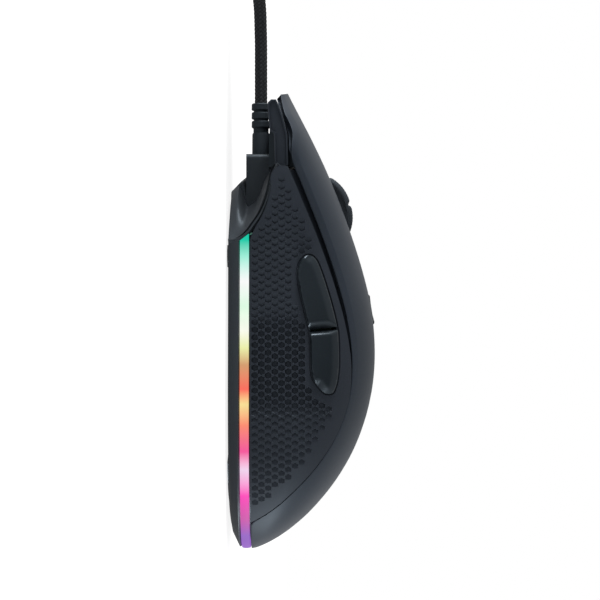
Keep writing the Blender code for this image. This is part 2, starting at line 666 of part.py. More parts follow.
def boards():
    """The circuit boards and what is soldered to them."""
    right = [(7.0, 28.8), (17.0, 25.8), (19.5, 24.0), (19.5, -24.0), (14.0, -36.0)]
    outline = right + [(-x, y) for x, y in reversed(right)]
    board = loft("main_board", [[(x, y, z) for x, y in outline] for z in (PCB_BOTTOM, PCB_TOP)], "board_green")
    window = box("lens_cutter", (-3.4, SENSOR_Y - 3.4, 0), (3.4, SENSOR_Y + 3.4, 9), None, cutter=True)
    holes = []
    for x, y in BOARD_SCREWS:
        holes.append(round_cutter(f"board_hole_{x:.0f}", (x, y, 0), 12, SCREW_R + GAP))
    boolean(board, [window] + holes, "DIFFERENCE")
    side = THUMB_SWITCH_X + GAP
    box("thumb_board", (side, -17.0, BOARD), (side + 1.2, 14.0, 29.0), "board_green")
    box("sensor_chip", (-5.0, SENSOR_Y - 6, BOARD), (5.0, SENSOR_Y + 6, BOARD + 2.4), "component_black", 0.2)
    lens = [(SOLE + 0.6, 1.6), (2.6, 2.4), (PCB_TOP - 0.2, 2.6)]
    turned("sensor_lens", lens, "lens_clear", centre=(0, SENSOR_Y, 0), sides=20)
    box("controller_chip", (7.5, -16, BOARD), (14.5, -9, BOARD + 1.2), "component_black", 0.15)
    box("led_driver_chip", (6.5, -30, BOARD), (11.5, -25, BOARD + 1.2), "component_black", 0.15)
    rod("capacitor", (-8.0, -27.0, BOARD), 6.0, 2.5, "component_white", sides=16)
    box("cable_connector", (-15.0, 26.0, BOARD), (-9.0, 29.6, BOARD + 4.2), "component_white", 0.2)
    side_view = [(24.4, BOARD), (28.6, BOARD), (33.0, 13.5), (33.0, 25.5), (24.4, 25.5)]
    rings = [[(x, y, z) for y, z in side_view] for x in (7.0, 10.4)]
    encoder = loft("wheel_encoder", rings, "component_black")
    start = (5, WHEEL_Y, WHEEL_Z)
    bore = rod("encoder_bore", start, 8, AXLE_R + 0.9, None, axis="X", sides=16, cutter=True)
    boolean(encoder, [bore], "DIFFERENCE")
    for name, (x, y) in zip(("left", "right"), BOARD_SCREWS):
        profile = [(2.5, SCREW_R), (BOARD, SCREW_R), (BOARD, 1.9), (BOARD + 1.2, 1.9)]
        turned(f"board_screw_{name}", profile, "steel", centre=(x, y, 0), sides=12)


def switch(name, low, high, plunger, along):
    """A switch's case with a well in its working face, and the plunger that its button pushes into the well.

    The plunger's place is on that face, and along points out of it: up, or to the left.
    """
    case = box(f"{name}_switch", low, high, "component_black", 0.2)
    centre = Vector(plunger)
    if along.z:
        axis, well_start, tip_start = "Z", centre - WELL * along, centre - PLUNGER_SUNK * along
    else:
        axis, well_start, tip_start = "X", centre + along, centre + PLUNGER_RISE * along
    well = rod(f"{name}_well", well_start, WELL + 1, PLUNGER_R + GAP, None, axis=axis, sides=12, cutter=True)
    boolean(case, [well], "DIFFERENCE")
    length = PLUNGER_SUNK + PLUNGER_RISE
    rod(f"{name}_switch_plunger", tip_start, length, PLUNGER_R, "component_white", axis=axis, sides=12)


def switches():
    """The six switches under the buttons."""
    up, left = Vector((0, 0, 1)), Vector((-1, 0, 0))
    for name, x in (("left", -SWITCH_X), ("right", SWITCH_X)):
        low, high = (x - 2.9, SWITCH_Y - 9.0, BOARD), (x + 2.9, SWITCH_Y + 3.8, SWITCH_TOP)
        switch(name, low, high, (x, SWITCH_Y, SWITCH_TOP), up)
    for name, y in (("middle", MIDDLE_Y), ("dpi", DPI_Y)):
        top = BOARD + SMALL_SWITCH
        switch(name, (-3, y - 2.6, BOARD), (3, y + 2.6, top), (0, y, top), up)
    for name, y in THUMB_SWITCH_Y.items():
        face = THUMB_SWITCH_X - SMALL_SWITCH
        low, high = (face, y - 2.6, THUMB_Z - 2.6), (THUMB_SWITCH_X, y + 2.6, THUMB_Z + 2.6)
        switch(name.split("_")[0], low, high, (face, y, THUMB_Z), left)


def cable_boot():
    """The strain relief: a flange inside the snout, a sleeve, and three ribs round the cord."""
    profile = [(BOOT_BACK, 3.6), (44.3, 3.6), (44.3, 2.4), (52.5, 2.4), (52.5, CORD_R), (53.8, CORD_R)]
    profile.append((53.8, 2.65))
    for groove in (55.8, 58.2):
        profile += [(groove, 2.65), (groove, 2.2), (groove + 0.5, 2.2), (groove + 0.5, 2.65)]
    profile.append((BOOT_FRONT, 2.65))
    turned("cable_boot", profile, "boot_rubber", centre=(0, 0, CORD_Z), axis="Y", sides=20)


def tube(name, route, radius, finish, spacing):
    """A round tube along a smooth curve through the route's points."""
    at = np.concatenate([[0], np.cumsum([math.dist(a, b) for a, b in zip(route, route[1:])])])
    reads = [smooth(list(zip(at, values))) for values in zip(*route)]
    count = int(at[-1] / spacing) + 1
    curve = bpy.data.curves.new(name, "CURVE")
    curve.dimensions = "3D"
    spline = curve.splines.new("POLY")
    spline.points.add(count - 1)
    for point, distance in zip(spline.points, np.linspace(0, at[-1], count)):
        point.co = (*(read(distance) * MM for read in reads), 1.0)
    curve.bevel_depth = radius * MM
    curve.bevel_resolution = 2
    curve.use_fill_caps = True
    curve.materials.append(material(finish))
    made = bpy.data.objects.new(name, curve)
    bpy.context.collection.objects.link(made)
    return made


def free_cord():
    """The loose cord: its lead to the coil, the coil, its tie, and the plug at its end."""
    tube("cord_lead", LEAD, CORD_R, "cord_braid", 4.0)
    tube("inner_cable", INNER_CABLE, 0.8, "component_black", 2.0)
    section = [(COIL_MIDDLE_R + COIL_HALF * x, z) for x, z in COIL_SECTION]
    rings = []
    for i in range(40):
        a = 2 * math.pi * i / 40
        rings.append([(COIL_X + r * math.cos(a), COIL_Y + r * math.sin(a), z) for r, z in section])
    closed_rings(rings, "cord_coil", "cord_braid", (0, 0, 0))
    x, half = COIL_X + COIL_MIDDLE_R, TIE_WIDTH / 2
    low = (x - COIL_HALF - TIE_INNER_SLACK, COIL_Y - half - 1, COIL_BOTTOM - GAP)
    high = (x + COIL_HALF + GAP, COIL_Y + half + 1, COIL_TOP + GAP)
    around = (low[0] - TIE_THICK, COIL_Y - half, 0.0)
    beyond = (high[0] + TIE_THICK, COIL_Y + half, high[2] + TIE_THICK)
    tie = box("cord_tie", around, beyond, "tie_fabric")
    boolean(tie, [box("tie_cutter", low, high, None, cutter=True)], "DIFFERENCE")


def plug():
    """The USB plug at the cord's end: a moulded grip, a metal shell and the insulator inside it."""
    tube("cord_tail", TAIL_LEAD, CORD_R, "cord_braid", 4.0)
    start, y, z = PLUG_START, PLUG_Y, PLUG_Z
    profile = [  # along the plug, half width, half height
        (0.0, 2.4, 2.4), (4.5, 3.0, 2.6), (6.0, 6.6, 3.9),
        (7.2, 7.8, 4.15), (22.0, 7.8, 4.15), (22.8, 7.2, 3.6),
    ]
    rings = []
    for along, half_y, half_z in profile:
        c = 0.72
        corner = [(1, c), (c, 1), (-c, 1), (-1, c), (-1, -c), (-c, -1), (c, -1), (1, -c)]
        rings.append([(start + along, y + half_y * u, z + half_z * v) for u, v in corner])
    loft("plug_grip", rings, "boot_rubber")
    face = start + 22.8 + GAP
    metal = box("plug_shell", (face, y - 6.0, z - 2.25), (face + 12.0, y + 6.0, z + 2.25), "steel")
    low, high = (face + 1.0, y - 5.6, z - 1.9), (face + 14.0, y + 5.6, z + 1.9)
    mouth = box("plug_mouth", low, high, None, cutter=True)
    boolean(metal, [mouth], "DIFFERENCE")
    box("plug_insulator", (face + 1.3, y - 5.3, z - 1.6), (face + 11.4, y + 5.3, z + 0.2), "component_white")


def main():
    clear_scene()
    base_shell()
    case_screws()
    feet()
    light_strip()
    led_board()
    for side in (-1, 1):
        side_panel(side)
        button_plate(side)
        fender(side)
    palm_cover()
    centre_spine()
    dpi_button()
    front_lower_shell()
    wheel()
    wheel_carrier()
    thumb_button("forward_button", 1)
    thumb_button("back_button", -1)
    boards()
    switches()
    cable_boot()
    free_cord()
    plug()


main()
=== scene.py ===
"""Looks of the wired gaming mouse: fine shells, textures, light strip, braided cord, stage and camera.

Sizes here are millimetres unless a name says otherwise. +Y is the nose, +X the right side, +Z up.
"""

import math

import bmesh
import bpy
import numpy as np
from mathutils import Matrix, Vector, geometry


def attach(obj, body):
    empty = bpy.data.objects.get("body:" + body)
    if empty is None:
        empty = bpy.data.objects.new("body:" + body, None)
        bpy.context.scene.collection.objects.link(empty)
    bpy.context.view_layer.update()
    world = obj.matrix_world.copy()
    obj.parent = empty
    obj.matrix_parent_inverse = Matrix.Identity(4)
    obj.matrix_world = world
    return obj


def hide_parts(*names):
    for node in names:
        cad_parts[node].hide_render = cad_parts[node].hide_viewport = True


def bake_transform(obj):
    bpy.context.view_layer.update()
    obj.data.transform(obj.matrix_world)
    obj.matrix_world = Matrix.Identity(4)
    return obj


MM = 0.001

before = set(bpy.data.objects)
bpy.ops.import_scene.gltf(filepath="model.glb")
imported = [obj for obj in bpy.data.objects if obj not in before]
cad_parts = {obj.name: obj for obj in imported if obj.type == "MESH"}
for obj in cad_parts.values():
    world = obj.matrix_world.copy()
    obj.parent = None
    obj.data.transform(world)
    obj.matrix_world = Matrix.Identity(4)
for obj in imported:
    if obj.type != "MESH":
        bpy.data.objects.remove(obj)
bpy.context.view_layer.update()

# ---------------------------------------------------------------- body form, as in the CAD model

NOSE = 63.5
TAIL = -63.5
HALF_WIDTH = 34.0
TAIL_ROUND_FROM = -20.0  # behind this the outline in plan rounds off to the tail
ROUNDNESS = 2.6  # exponent of the curves in plan and in section, where 2 would make ellipses
UNDERCUT = 0.06  # the share by which the sides draw in below their widest level
WIDEST_SHARE = 0.35  # that level's place between the strip's bottom and the crown
STRIP_BOTTOM = 3.5
STRIP_TOP = 6.25
HINGE_Y = -8.0

CROWN = [  # (along the length, height of the body's top) in side view
    (TAIL, 7.5), (-60.1, 13.6), (-55.1, 20.2), (-48.3, 26.7), (-38.2, 33.5), (-28.1, 37.7), (-18.0, 40.0),
    (-8.0, 40.6), (3.9, 39.5), (14.0, 37.1), (24.1, 33.9), (41.0, 27.3), (56.2, 20.0), (NOSE, 16.5),
]
SEAM = [  # the lower edge of the crown's shells
    (TAIL, STRIP_TOP), (-54.5, STRIP_TOP), (-52.0, 10.2), (-43.7, 19.7), (-33.6, 27.7),
    (-23.0, 32.3), (-13.1, 33.7), (-6.4, 33.4), (0.8, 32.3), (9.4, 30.1), (21.9, 25.9), (36.3, 20.2),
    (43.0, 17.6), (51.0, 17.6), (53.0, 17.1), (57.3, 15.7), (NOSE, 14.4),
]
PLAN = [  # half the body's greatest width
    (TAIL_ROUND_FROM, 34.0), (0.0, 32.6), (20.0, 31.2), (41.0, 31.4), (52.0, 30.6), (58.0, 28.6), (NOSE, 23.0),
]


def smooth(knots):
    """A smooth curve through (position, value) knots, as a function that takes one position or an array."""
    at, value = np.array(sorted(knots), float).T
    slope = np.gradient(value, at)

    def read(position):
        i = np.clip(np.searchsorted(at, position) - 1, 0, len(at) - 2)
        step = at[i + 1] - at[i]
        u = np.clip((position - at[i]) / step, 0.0, 1.0)
        start = value[i] * (1 + 2 * u) + slope[i] * step * u
        end = value[i + 1] * (3 - 2 * u) - slope[i + 1] * step * (1 - u)
        return start * (1 - u) ** 2 + end * u**2

    return read


crown = smooth(CROWN)
seam_curve = smooth(SEAM)
plan_front = smooth(PLAN)


def seam(y):
    """Height of the crown shells' lower edge."""
    return np.maximum(seam_curve(y), STRIP_TOP + 0.15)


def plan(y):
    """Half the body's greatest width at y."""
    reach = np.clip((TAIL_ROUND_FROM - y) / (TAIL_ROUND_FROM - TAIL), 0.0, 1.0)
    rounded = HALF_WIDTH * (1 - reach**ROUNDNESS) ** (1 / ROUNDNESS)
    return np.where(y > TAIL_ROUND_FROM, plan_front(y), rounded)


def widest_level(y):
    return STRIP_BOTTOM + WIDEST_SHARE * (crown(y) - STRIP_BOTTOM)


def half_width(y, z):
    """Half the body's width at height z."""
    level = widest_level(y)
    below = 1 - UNDERCUT * ((level - z) / level) ** 2
    rise = np.clip((z - level) / (crown(y) - level), 0.0, 1.0)
    above = (1 - rise**ROUNDNESS) ** (1 / ROUNDNESS)
    return plan(y) * np.where(z < level, below, above)


def ease(t):
    t = np.clip(t, 0.0, 1.0)
    return t * t * (3 - 2 * t)


# ---------------------------------------------------------------- camera and stage

CAMERA_DISTANCE = 540.0
VIEW_CENTRE = (5.6, 19.7)  # along the length and up, where the middle of the view meets the centre plane
LENS = 115.3
SENSOR = 36.0


def add_camera():
    """The camera looks square-on at the left side, rolled so that the nose points up the picture."""
    data = bpy.data.cameras.new("camera")
    data.sensor_width = SENSOR
    data.lens = LENS
    data.clip_start = 0.01
    data.clip_end = 50
    camera = bpy.data.objects.new("camera", data)
    bpy.context.collection.objects.link(camera)
    facing = Matrix(((0, 0, -1), (0, 1, 0), (1, 0, 0))).to_4x4()
    place = Vector((-CAMERA_DISTANCE, *VIEW_CENTRE)) * MM
    camera.matrix_world = Matrix.Translation(place) @ facing
    bpy.context.scene.camera = camera


def area_light(name, place, target, size, power):
    data = bpy.data.lights.new(name, "AREA")
    data.shape = "RECTANGLE"
    data.size, data.size_y = size
    data.energy = power
    light = bpy.data.objects.new(name, data)
    bpy.context.collection.objects.link(light)
    aim = (Vector(target) - Vector(place)).to_track_quat("-Z", "Y")
    light.matrix_world = Matrix.Translation(place) @ aim.to_matrix().to_4x4()


STUDIO_LIGHT = [  # direction that the light comes from, and how much it adds there
    ((0, 1, 0), 0.85), ((0, -1, 0), 0.90), ((1, 0, 0), 0.35), ((0, 0, 1), -0.18),
]
STUDIO_BASE = 0.20  # the light that comes from everywhere


def add_world():
    """A white backdrop. The light on the object comes mostly from its nose, its tail and its far side."""
    world = bpy.data.worlds.new("studio")
    bpy.context.scene.world = world
    world.use_nodes = True
    tree = world.node_tree
    coordinates = tree.nodes.new("ShaderNodeTexCoord")
    total = None
    for direction, strength in STUDIO_LIGHT:
        towards = tree.nodes.new("ShaderNodeVectorMath")
        towards.operation = "DOT_PRODUCT"
        towards.inputs[1].default_value = direction
        share = place_node(tree, "ShaderNodeMapRange", To_Max=strength)
        add = tree.nodes.new("ShaderNodeMath")
        add.inputs[1].default_value = STUDIO_BASE
        tree.links.new(coordinates.outputs["Generated"], towards.inputs[0])
        tree.links.new(towards.outputs["Value"], share.inputs["Value"])
        tree.links.new(share.outputs["Result"], add.inputs[0])
        if total:
            tree.links.new(total.outputs["Value"], add.inputs[1])
        total = add
    path = tree.nodes.new("ShaderNodeLightPath")
    backdrop = tree.nodes.new("ShaderNodeMath")
    backdrop.operation = "MAXIMUM"
    tree.links.new(total.outputs["Value"], backdrop.inputs[0])
    tree.links.new(path.outputs["Is Camera Ray"], backdrop.inputs[1])
    tree.links.new(backdrop.outputs["Value"], tree.nodes["Background"].inputs["Color"])
    tree.nodes["Background"].inputs["Strength"].default_value = 1.0


FLOOR_REACH = 2.2  # metres
FLOOR_SIDES = 96
FLOOR_TONE = (0.45, 0.45, 0.45)
FLOOR_GLOW = {"To_Min": 0.2, "To_Max": 0.82}  # the floor's own light, to other rays and to camera rays
LAMPS = [  # name, place, target and size in metres, and power in watts
    ("key", (-0.16, 1.00, 0.10), (0, 0, 0.02), (0.5, 0.3), 16.0),
    ("tail_bounce", (-0.25, -0.85, 0.05), (0, 0, 0.01), (0.6, 0.1), 6.0),
    ("overhead", (0.15, -0.05, 1.2), (0, 0, 0), (1.4, 1.4), 1.2),
]


def add_stage():
    """A pale round floor on a white backdrop, lit softly from nose and tail and faintly from above."""
    floor_mesh = bpy.data.meshes.new("floor")
    angles = [2 * math.pi * i / FLOOR_SIDES for i in range(FLOOR_SIDES)]
    corners = [(FLOOR_REACH * math.cos(angle), FLOOR_REACH * math.sin(angle), 0) for angle in angles]
    floor_mesh.from_pydata(corners, [], [list(range(FLOOR_SIDES))])
    floor = bpy.data.objects.new("floor", floor_mesh)
    floor.location.z = -0.0001
    bpy.context.collection.objects.link(floor)
    paper, tree, shader = new_material("pale_floor", FLOOR_TONE, 0.95, 0.0)
    shader.inputs["Emission Color"].default_value = (1, 1, 1, 1)
    path = tree.nodes.new("ShaderNodeLightPath")
    glow = place_node(tree, "ShaderNodeMapRange", **FLOOR_GLOW)
    tree.links.new(path.outputs["Is Camera Ray"], glow.inputs["Value"])
    tree.links.new(glow.outputs["Result"], shader.inputs["Emission Strength"])
    floor_mesh.materials.append(paper)
    for lamp in LAMPS:
        area_light(*lamp)
    add_world()
    bpy.context.scene.view_settings.view_transform = "Standard"


# ---------------------------------------------------------------- materials

MIX_A, MIX_B, MIX_RESULT = 6, 7, 2  # a Mix node's sockets for colours
COOL_GLOSS = (0.70, 0.86, 1.0, 1)  # the dark plastics' gloss is a little bluish
GLOSS_SPREAD = 0.06  # how far a moulded surface's roughness wanders either way


def new_material(name, colour, roughness, specular=0.5):
    made = bpy.data.materials.new(name)
    made.use_nodes = True
    shader = made.node_tree.nodes["Principled BSDF"]
    shader.inputs["Base Color"].default_value = (*colour, 1)
    shader.inputs["Roughness"].default_value = roughness
    shader.inputs["Specular IOR Level"].default_value = specular
    return made, made.node_tree, shader


def place_node(tree, kind, **inputs):
    """A node with values set on some of its sockets."""
    node = tree.nodes.new(kind)
    for name, value in inputs.items():
        node.inputs[name.replace("_", " ")].default_value = value
    return node


def texture(tree, kind, **inputs):
    """A texture that lies in the object's own coordinates."""
    node = place_node(tree, kind, **inputs)
    coordinates = tree.nodes.new("ShaderNodeTexCoord")
    tree.links.new(coordinates.outputs["Object"], node.inputs["Vector"])
    return node


def mix_colours(tree, blend="MIX", factor=0.5):
    node = tree.nodes.new("ShaderNodeMix")
    node.data_type = "RGBA"
    node.blend_type = blend
    node.inputs[0].default_value = factor
    return node


def add_bump(tree, shader, height, strength, depth):
    """Bump from a height output, with its depth in millimetres."""
    bump = place_node(tree, "ShaderNodeBump", Strength=strength, Distance=depth * MM)
    tree.links.new(height, bump.inputs["Height"])
    tree.links.new(bump.outputs["Normal"], shader.inputs["Normal"])


def tint(colour, factor):
    return tuple(channel * factor for channel in colour) + (1,)


def grained(name, colour, roughness, grain=0.45, depth=0.012, cloud=0.10, metallic=0.0, specular=0.5):
    """Moulded surface: a fine grain (size and depth in mm) over slow changes of tone and gloss."""
    made, tree, shader = new_material(name, colour, roughness, specular)
    shader.inputs["Metallic"].default_value = metallic
    shader.inputs["Specular Tint"].default_value = COOL_GLOSS
    link = tree.links.new
    slow = texture(tree, "ShaderNodeTexNoise", Scale=70.0, Detail=3.0, Roughness=0.6)
    fine = texture(tree, "ShaderNodeTexNoise", Scale=1000.0 / grain, Detail=2.0, Roughness=0.6)
    shade = mix_colours(tree)
    shade.inputs[MIX_A].default_value = tint(colour, 1 - cloud)
    shade.inputs[MIX_B].default_value = tint(colour, 1 + cloud)
    speckle = mix_colours(tree, "OVERLAY", 0.25)
    gloss = place_node(tree, "ShaderNodeMapRange", To_Min=roughness - GLOSS_SPREAD, To_Max=roughness + GLOSS_SPREAD)
    link(slow.outputs["Fac"], shade.inputs[0])
    link(shade.outputs[MIX_RESULT], speckle.inputs[MIX_A])
    link(fine.outputs["Color"], speckle.inputs[MIX_B])
    link(speckle.outputs[MIX_RESULT], shader.inputs["Base Color"])
    link(slow.outputs["Fac"], gloss.inputs["Value"])
    link(gloss.outputs["Result"], shader.inputs["Roughness"])
    add_bump(tree, shader, fine.outputs["Fac"], 0.5, depth)
    return made


STRIP_COLOURS = [  # along the length in mm, then the light's colour as it looks, 0 to 255
    (24.0, 0, 198, 164), (21.5, 6, 206, 171), (17.0, 161, 240, 218), (10.5, 255, 255, 255),
    (4.0, 222, 253, 228), (-2.5, 253, 255, 241), (-7.0, 236, 240, 170), (-11.5, 216, 160, 112),
    (-18.0, 255, 108, 92), (-22.0, 250, 225, 150), (-27.5, 254, 140, 112), (-34.5, 247, 84, 156),
    (-39.5, 245, 215, 242), (-46.5, 255, 72, 188), (-53.0, 207, 88, 172), (-58.0, 150, 98, 198),
]


def seen(value):
    """A display value from 0 to 255 as linear light."""
    value = value / 255
    return value / 12.92 if value <= 0.04045 else ((value + 0.055) / 1.055) ** 2.4


def glowing_strip():
    """Translucent plastic lit from inside: the light's colour changes along the body's length."""
    made, tree, shader = new_material("light_guide_lit", (0.01, 0.01, 0.01), 0.6, 0.15)
    shader.inputs["Emission Strength"].default_value = 0.97
    link = tree.links.new
    coordinates = tree.nodes.new("ShaderNodeTexCoord")
    axes = tree.nodes.new("ShaderNodeSeparateXYZ")
    front, back = STRIP_COLOURS[0][0] * MM, STRIP_COLOURS[-1][0] * MM
    along = place_node(tree, "ShaderNodeMapRange", From_Min=back, From_Max=front)
    ramp = tree.nodes.new("ShaderNodeValToRGB")
    stops = ramp.color_ramp.elements
    stops.remove(stops[-1])
    for i, (y, *colour) in enumerate(reversed(STRIP_COLOURS)):
        at = (y * MM - back) / (front - back)
        stop = stops[0] if i == 0 else stops.new(at)
        stop.position = at
        stop.color = (*[seen(value) for value in colour], 1)
    mottle = texture(tree, "ShaderNodeTexNoise", Scale=260.0, Detail=1.0)
    dim = place_node(tree, "ShaderNodeMapRange", To_Min=0.92, To_Max=1.05)
    glow = mix_colours(tree, "MULTIPLY", 1.0)
    link(coordinates.outputs["Object"], axes.inputs["Vector"])
    link(axes.outputs["Y"], along.inputs["Value"])
    link(along.outputs["Result"], ramp.inputs["Fac"])
    link(mottle.outputs["Fac"], dim.inputs["Value"])
    link(ramp.outputs["Color"], glow.inputs[MIX_A])
    link(dim.outputs["Result"], glow.inputs[MIX_B])
    link(glow.outputs[MIX_RESULT], shader.inputs["Emission Color"])
    return made


BRAID_STRANDS = 8  # strands that run each way round the cord
BRAID_PITCH = 9.0  # length of cord in which a strand goes once round


def braid(name, colour):
    """Two crossing families of strands, from the cord's own coordinates: u goes round it, v is mm along it. The
    colour carries painted shade in the grooves between strands and a painted highlight on their crests.
    """
    made, tree, shader = new_material(name, colour, 0.8, 0.35)
    link = tree.links.new
    uv = tree.nodes.new("ShaderNodeUVMap")
    uv.uv_map = "cord"
    axes = tree.nodes.new("ShaderNodeSeparateXYZ")
    link(uv.outputs["UV"], axes.inputs["Vector"])

    def maths(operation, a, b=None):
        node = tree.nodes.new("ShaderNodeMath")
        node.operation = operation
        for socket, value in zip(node.inputs, (a, b)):
            if isinstance(value, (int, float)):
                socket.default_value = value
            elif value is not None:
                link(value, socket)
        return node.outputs["Value"]

    round_part = maths("MULTIPLY", axes.outputs["X"], BRAID_STRANDS)
    along_part = maths("MULTIPLY", axes.outputs["Y"], BRAID_STRANDS / BRAID_PITCH)
    strand_a = maths("ADD", round_part, along_part)
    strand_b = maths("SUBTRACT", round_part, along_part)
    over = maths("MODULO", maths("ADD", maths("FLOOR", strand_a), maths("FLOOR", strand_b)), 2.0)
    over = maths("ABSOLUTE", over)
    ridge_a = maths("ABSOLUTE", maths("SINE", maths("MULTIPLY", strand_a, math.pi)))
    ridge_b = maths("ABSOLUTE", maths("SINE", maths("MULTIPLY", strand_b, math.pi)))
    under = maths("SUBTRACT", 1.0, over)
    ridge = maths("ADD", maths("MULTIPLY", ridge_a, over), maths("MULTIPLY", ridge_b, under))
    threads = texture(tree, "ShaderNodeTexNoise", Scale=2600.0, Detail=2.0)
    # Painted shade and highlight: the colour runs from dark in the grooves between strands to light on their crests,
    # and the second family's strands are drawn darker than the first's.
    shade = mix_colours(tree)
    shade.inputs[MIX_A].default_value = tint(colour, 0.35)
    shade.inputs[MIX_B].default_value = tint(colour, 1.9)
    link(maths("MULTIPLY", ridge, maths("ADD", maths("MULTIPLY", over, 0.35), 0.65)), shade.inputs[0])
    link(shade.outputs[MIX_RESULT], shader.inputs["Base Color"])
    add_bump(tree, shader, maths("ADD", ridge, maths("MULTIPLY", threads.outputs["Fac"], 0.35)), 0.8, 0.12)
    return made


def circuit_board(name, colour):
    """Solder mask over straight runs of paler traces."""
    made, tree, shader = new_material(name, colour, 0.35)
    traces = texture(tree, "ShaderNodeTexBrick", Color1=tint(colour, 1.15), Color2=tint(colour, 0.85),
                     Mortar=tint(colour, 2.1), Scale=1 / MM, Mortar_Size=0.14, Mortar_Smooth=0.3,
                     Brick_Width=8.5, Row_Height=1.3)
    tree.links.new(traces.outputs["Color"], shader.inputs["Base Color"])
    add_bump(tree, shader, traces.outputs["Fac"], 0.6, 0.03)
    return made


def clear_moulding(name, colour):
    """Clear plastic with the faint ripple and haze of a moulded lens."""
    made, tree, shader = new_material(name, colour, 0.08)
    shader.inputs["Transmission Weight"].default_value = 1.0
    shader.inputs["IOR"].default_value = 1.49
    ripple = texture(tree, "ShaderNodeTexNoise", Scale=450.0, Detail=1.0)
    haze = place_node(tree, "ShaderNodeMapRange", To_Min=0.04, To_Max=0.12)
    tree.links.new(ripple.outputs["Fac"], haze.inputs["Value"])
    tree.links.new(haze.outputs["Result"], shader.inputs["Roughness"])
    add_bump(tree, shader, ripple.outputs["Fac"], 0.3, 0.01)
    return made


# ---------------------------------------------------------------- mesh building


def add_mesh(name, points, faces, finish, body="root", angle=35, outward_from=None):
    """One mesh object from points in millimetres; faces turn to look away from outward_from, if it is given."""
    mesh = bpy.data.meshes.new(name)
    mesh.from_pydata((np.asarray(points, float) * MM).tolist(), [], faces)
    work = bmesh.new()
    work.from_mesh(mesh)
    bmesh.ops.remove_doubles(work, verts=work.verts, dist=0.002 * MM)
    bmesh.ops.dissolve_degenerate(work, edges=work.edges, dist=0.001 * MM)
    if outward_from is None:
        bmesh.ops.recalc_face_normals(work, faces=work.faces)
    else:
        home = Vector(outward_from) * MM
        work.normal_update()
        lean = 0.0
        for face in work.faces:
            lean += face.normal.dot(face.calc_center_median() - home) * face.calc_area()
        if lean < 0:
            bmesh.ops.reverse_faces(work, faces=work.faces)
    work.to_mesh(mesh)
    work.free()
    mesh.shade_smooth()
    mesh.set_sharp_from_angle(angle=math.radians(angle))
    piece = bpy.data.objects.new(name, mesh)
    bpy.context.collection.objects.link(piece)
    mesh.materials.append(finish)
    if body:
        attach(piece, body)
    return piece


def grid_faces(rows, columns, around=False):
    """Quads over rows x columns points; around=True also joins the last column to the first."""
    faces = []
    for i in range(rows - 1):
        for j in range(columns if around else columns - 1):
            k = (j + 1) % columns
            here, ahead = i * columns, (i + 1) * columns
            faces.append([here + j, here + k, ahead + k, ahead + j])
    return faces


def settle(piece):
    """Makes the piece's modifiers part of its mesh."""
    graph = bpy.context.evaluated_depsgraph_get()
    mesh = bpy.data.meshes.new_from_object(piece.evaluated_get(graph))
    piece.modifiers.clear()
    piece.data = mesh


def sheet(name, grid, finish, thickness, centre, body="root", angle=35):
    """A wall of even thickness. Its outer face is a grid of points and looks away from the centre."""
    grid = np.asarray(grid, float)
    rows, columns = grid.shape[:2]
    piece = add_mesh(name, grid.reshape(-1, 3), grid_faces(rows, columns), finish, body, angle, centre)
    thicken(piece, thickness, angle)
    return piece


def thicken(piece, thickness, angle):
    """Grows a wall inwards from the piece's face."""
    wall = piece.modifiers.new("wall", "SOLIDIFY")
    wall.thickness = thickness * MM
    wall.offset = -1
    settle(piece)
    sharpen(piece, angle)


def sharpen(piece, angle):
    """Shades the piece smooth, except over edges steeper than this many degrees."""
    piece.data.set_sharp_from_angle(angle=math.radians(angle))


def round_edges(piece, width, angle=35):
    rounding = piece.modifiers.new("rounding", "BEVEL")
    rounding.width = width * MM
    rounding.segments = 2
    rounding.limit_method = "ANGLE"
    rounding.angle_limit = math.radians(angle)
    rounding.harden_normals = False


def loft(name, rings, finish, body="root", bevel=0.0, angle=35, capped=True):
    """A closed solid through rings of points with equal counts."""
    rings = np.asarray(rings, float)
    levels, count = rings.shape[:2]
    faces = grid_faces(levels, count, around=True)
    if capped:
        faces += [list(range(count)), [levels * count - 1 - i for i in range(count)]]
    piece = add_mesh(name, rings.reshape(-1, 3), faces, finish, body, angle)
    if bevel:
        round_edges(piece, bevel, angle)
        settle(piece)
        sharpen(piece, angle)
    return piece


def turned(name, profile, finish, centre, axis="Y", sides=48, body="root", angle=35):
    """A solid of revolution from (along the axis, radius) points."""
    angles = np.linspace(0, 2 * math.pi, sides, endpoint=False)
    rings = []
    for along, radius in profile:
        u, v, w = radius * np.cos(angles), radius * np.sin(angles), np.full(sides, along)
        ring = {"X": (w, u, v), "Y": (u, w, v), "Z": (u, v, w)}[axis]
        rings.append(np.stack(ring, axis=1) + np.asarray(centre, float))
    return loft(name, rings, finish, body, angle=angle)


# ---------------------------------------------------------------- cord

CORD_R = 1.75
CORD_Z = 8.75
LEAD = [
    (0.0, 61.1, CORD_Z), (0.0, 70.0, CORD_Z), (-0.6, 80.0, 8.7), (-3.0, 90.0, 8.2),
    (-8.6, 95.8, 6.6), (-16.4, 99.6, 5.2), (-24.9, 104.2, 4.6),
]
TAIL_LEAD = [(3.0, 156.6, 4.2), (8.5, 155.6, 4.2), (14.4, 155.0, 4.2)]
COIL_CENTRE = (-6.0, 128.0)
COIL_MIDDLE_R = 20.0
COIL_FLOOR = 2.7  # height of the lowest turns' centreline where they lie on the tie
TURN_STEP = 3.52  # from one turn's centreline to the next one's, in the same layer
LAYER_STEP = 3.06
TIE_LIFT = 0.85
LAYERS = [4, 3, 4, 3]  # turns side by side in each layer, from the floor up
MOVE_OVER = 0.80  # the part of a turn after which the cord moves to its next place
COIL_EXIT = (29.4, 4.3)  # radius and height at which the cord leaves the coil


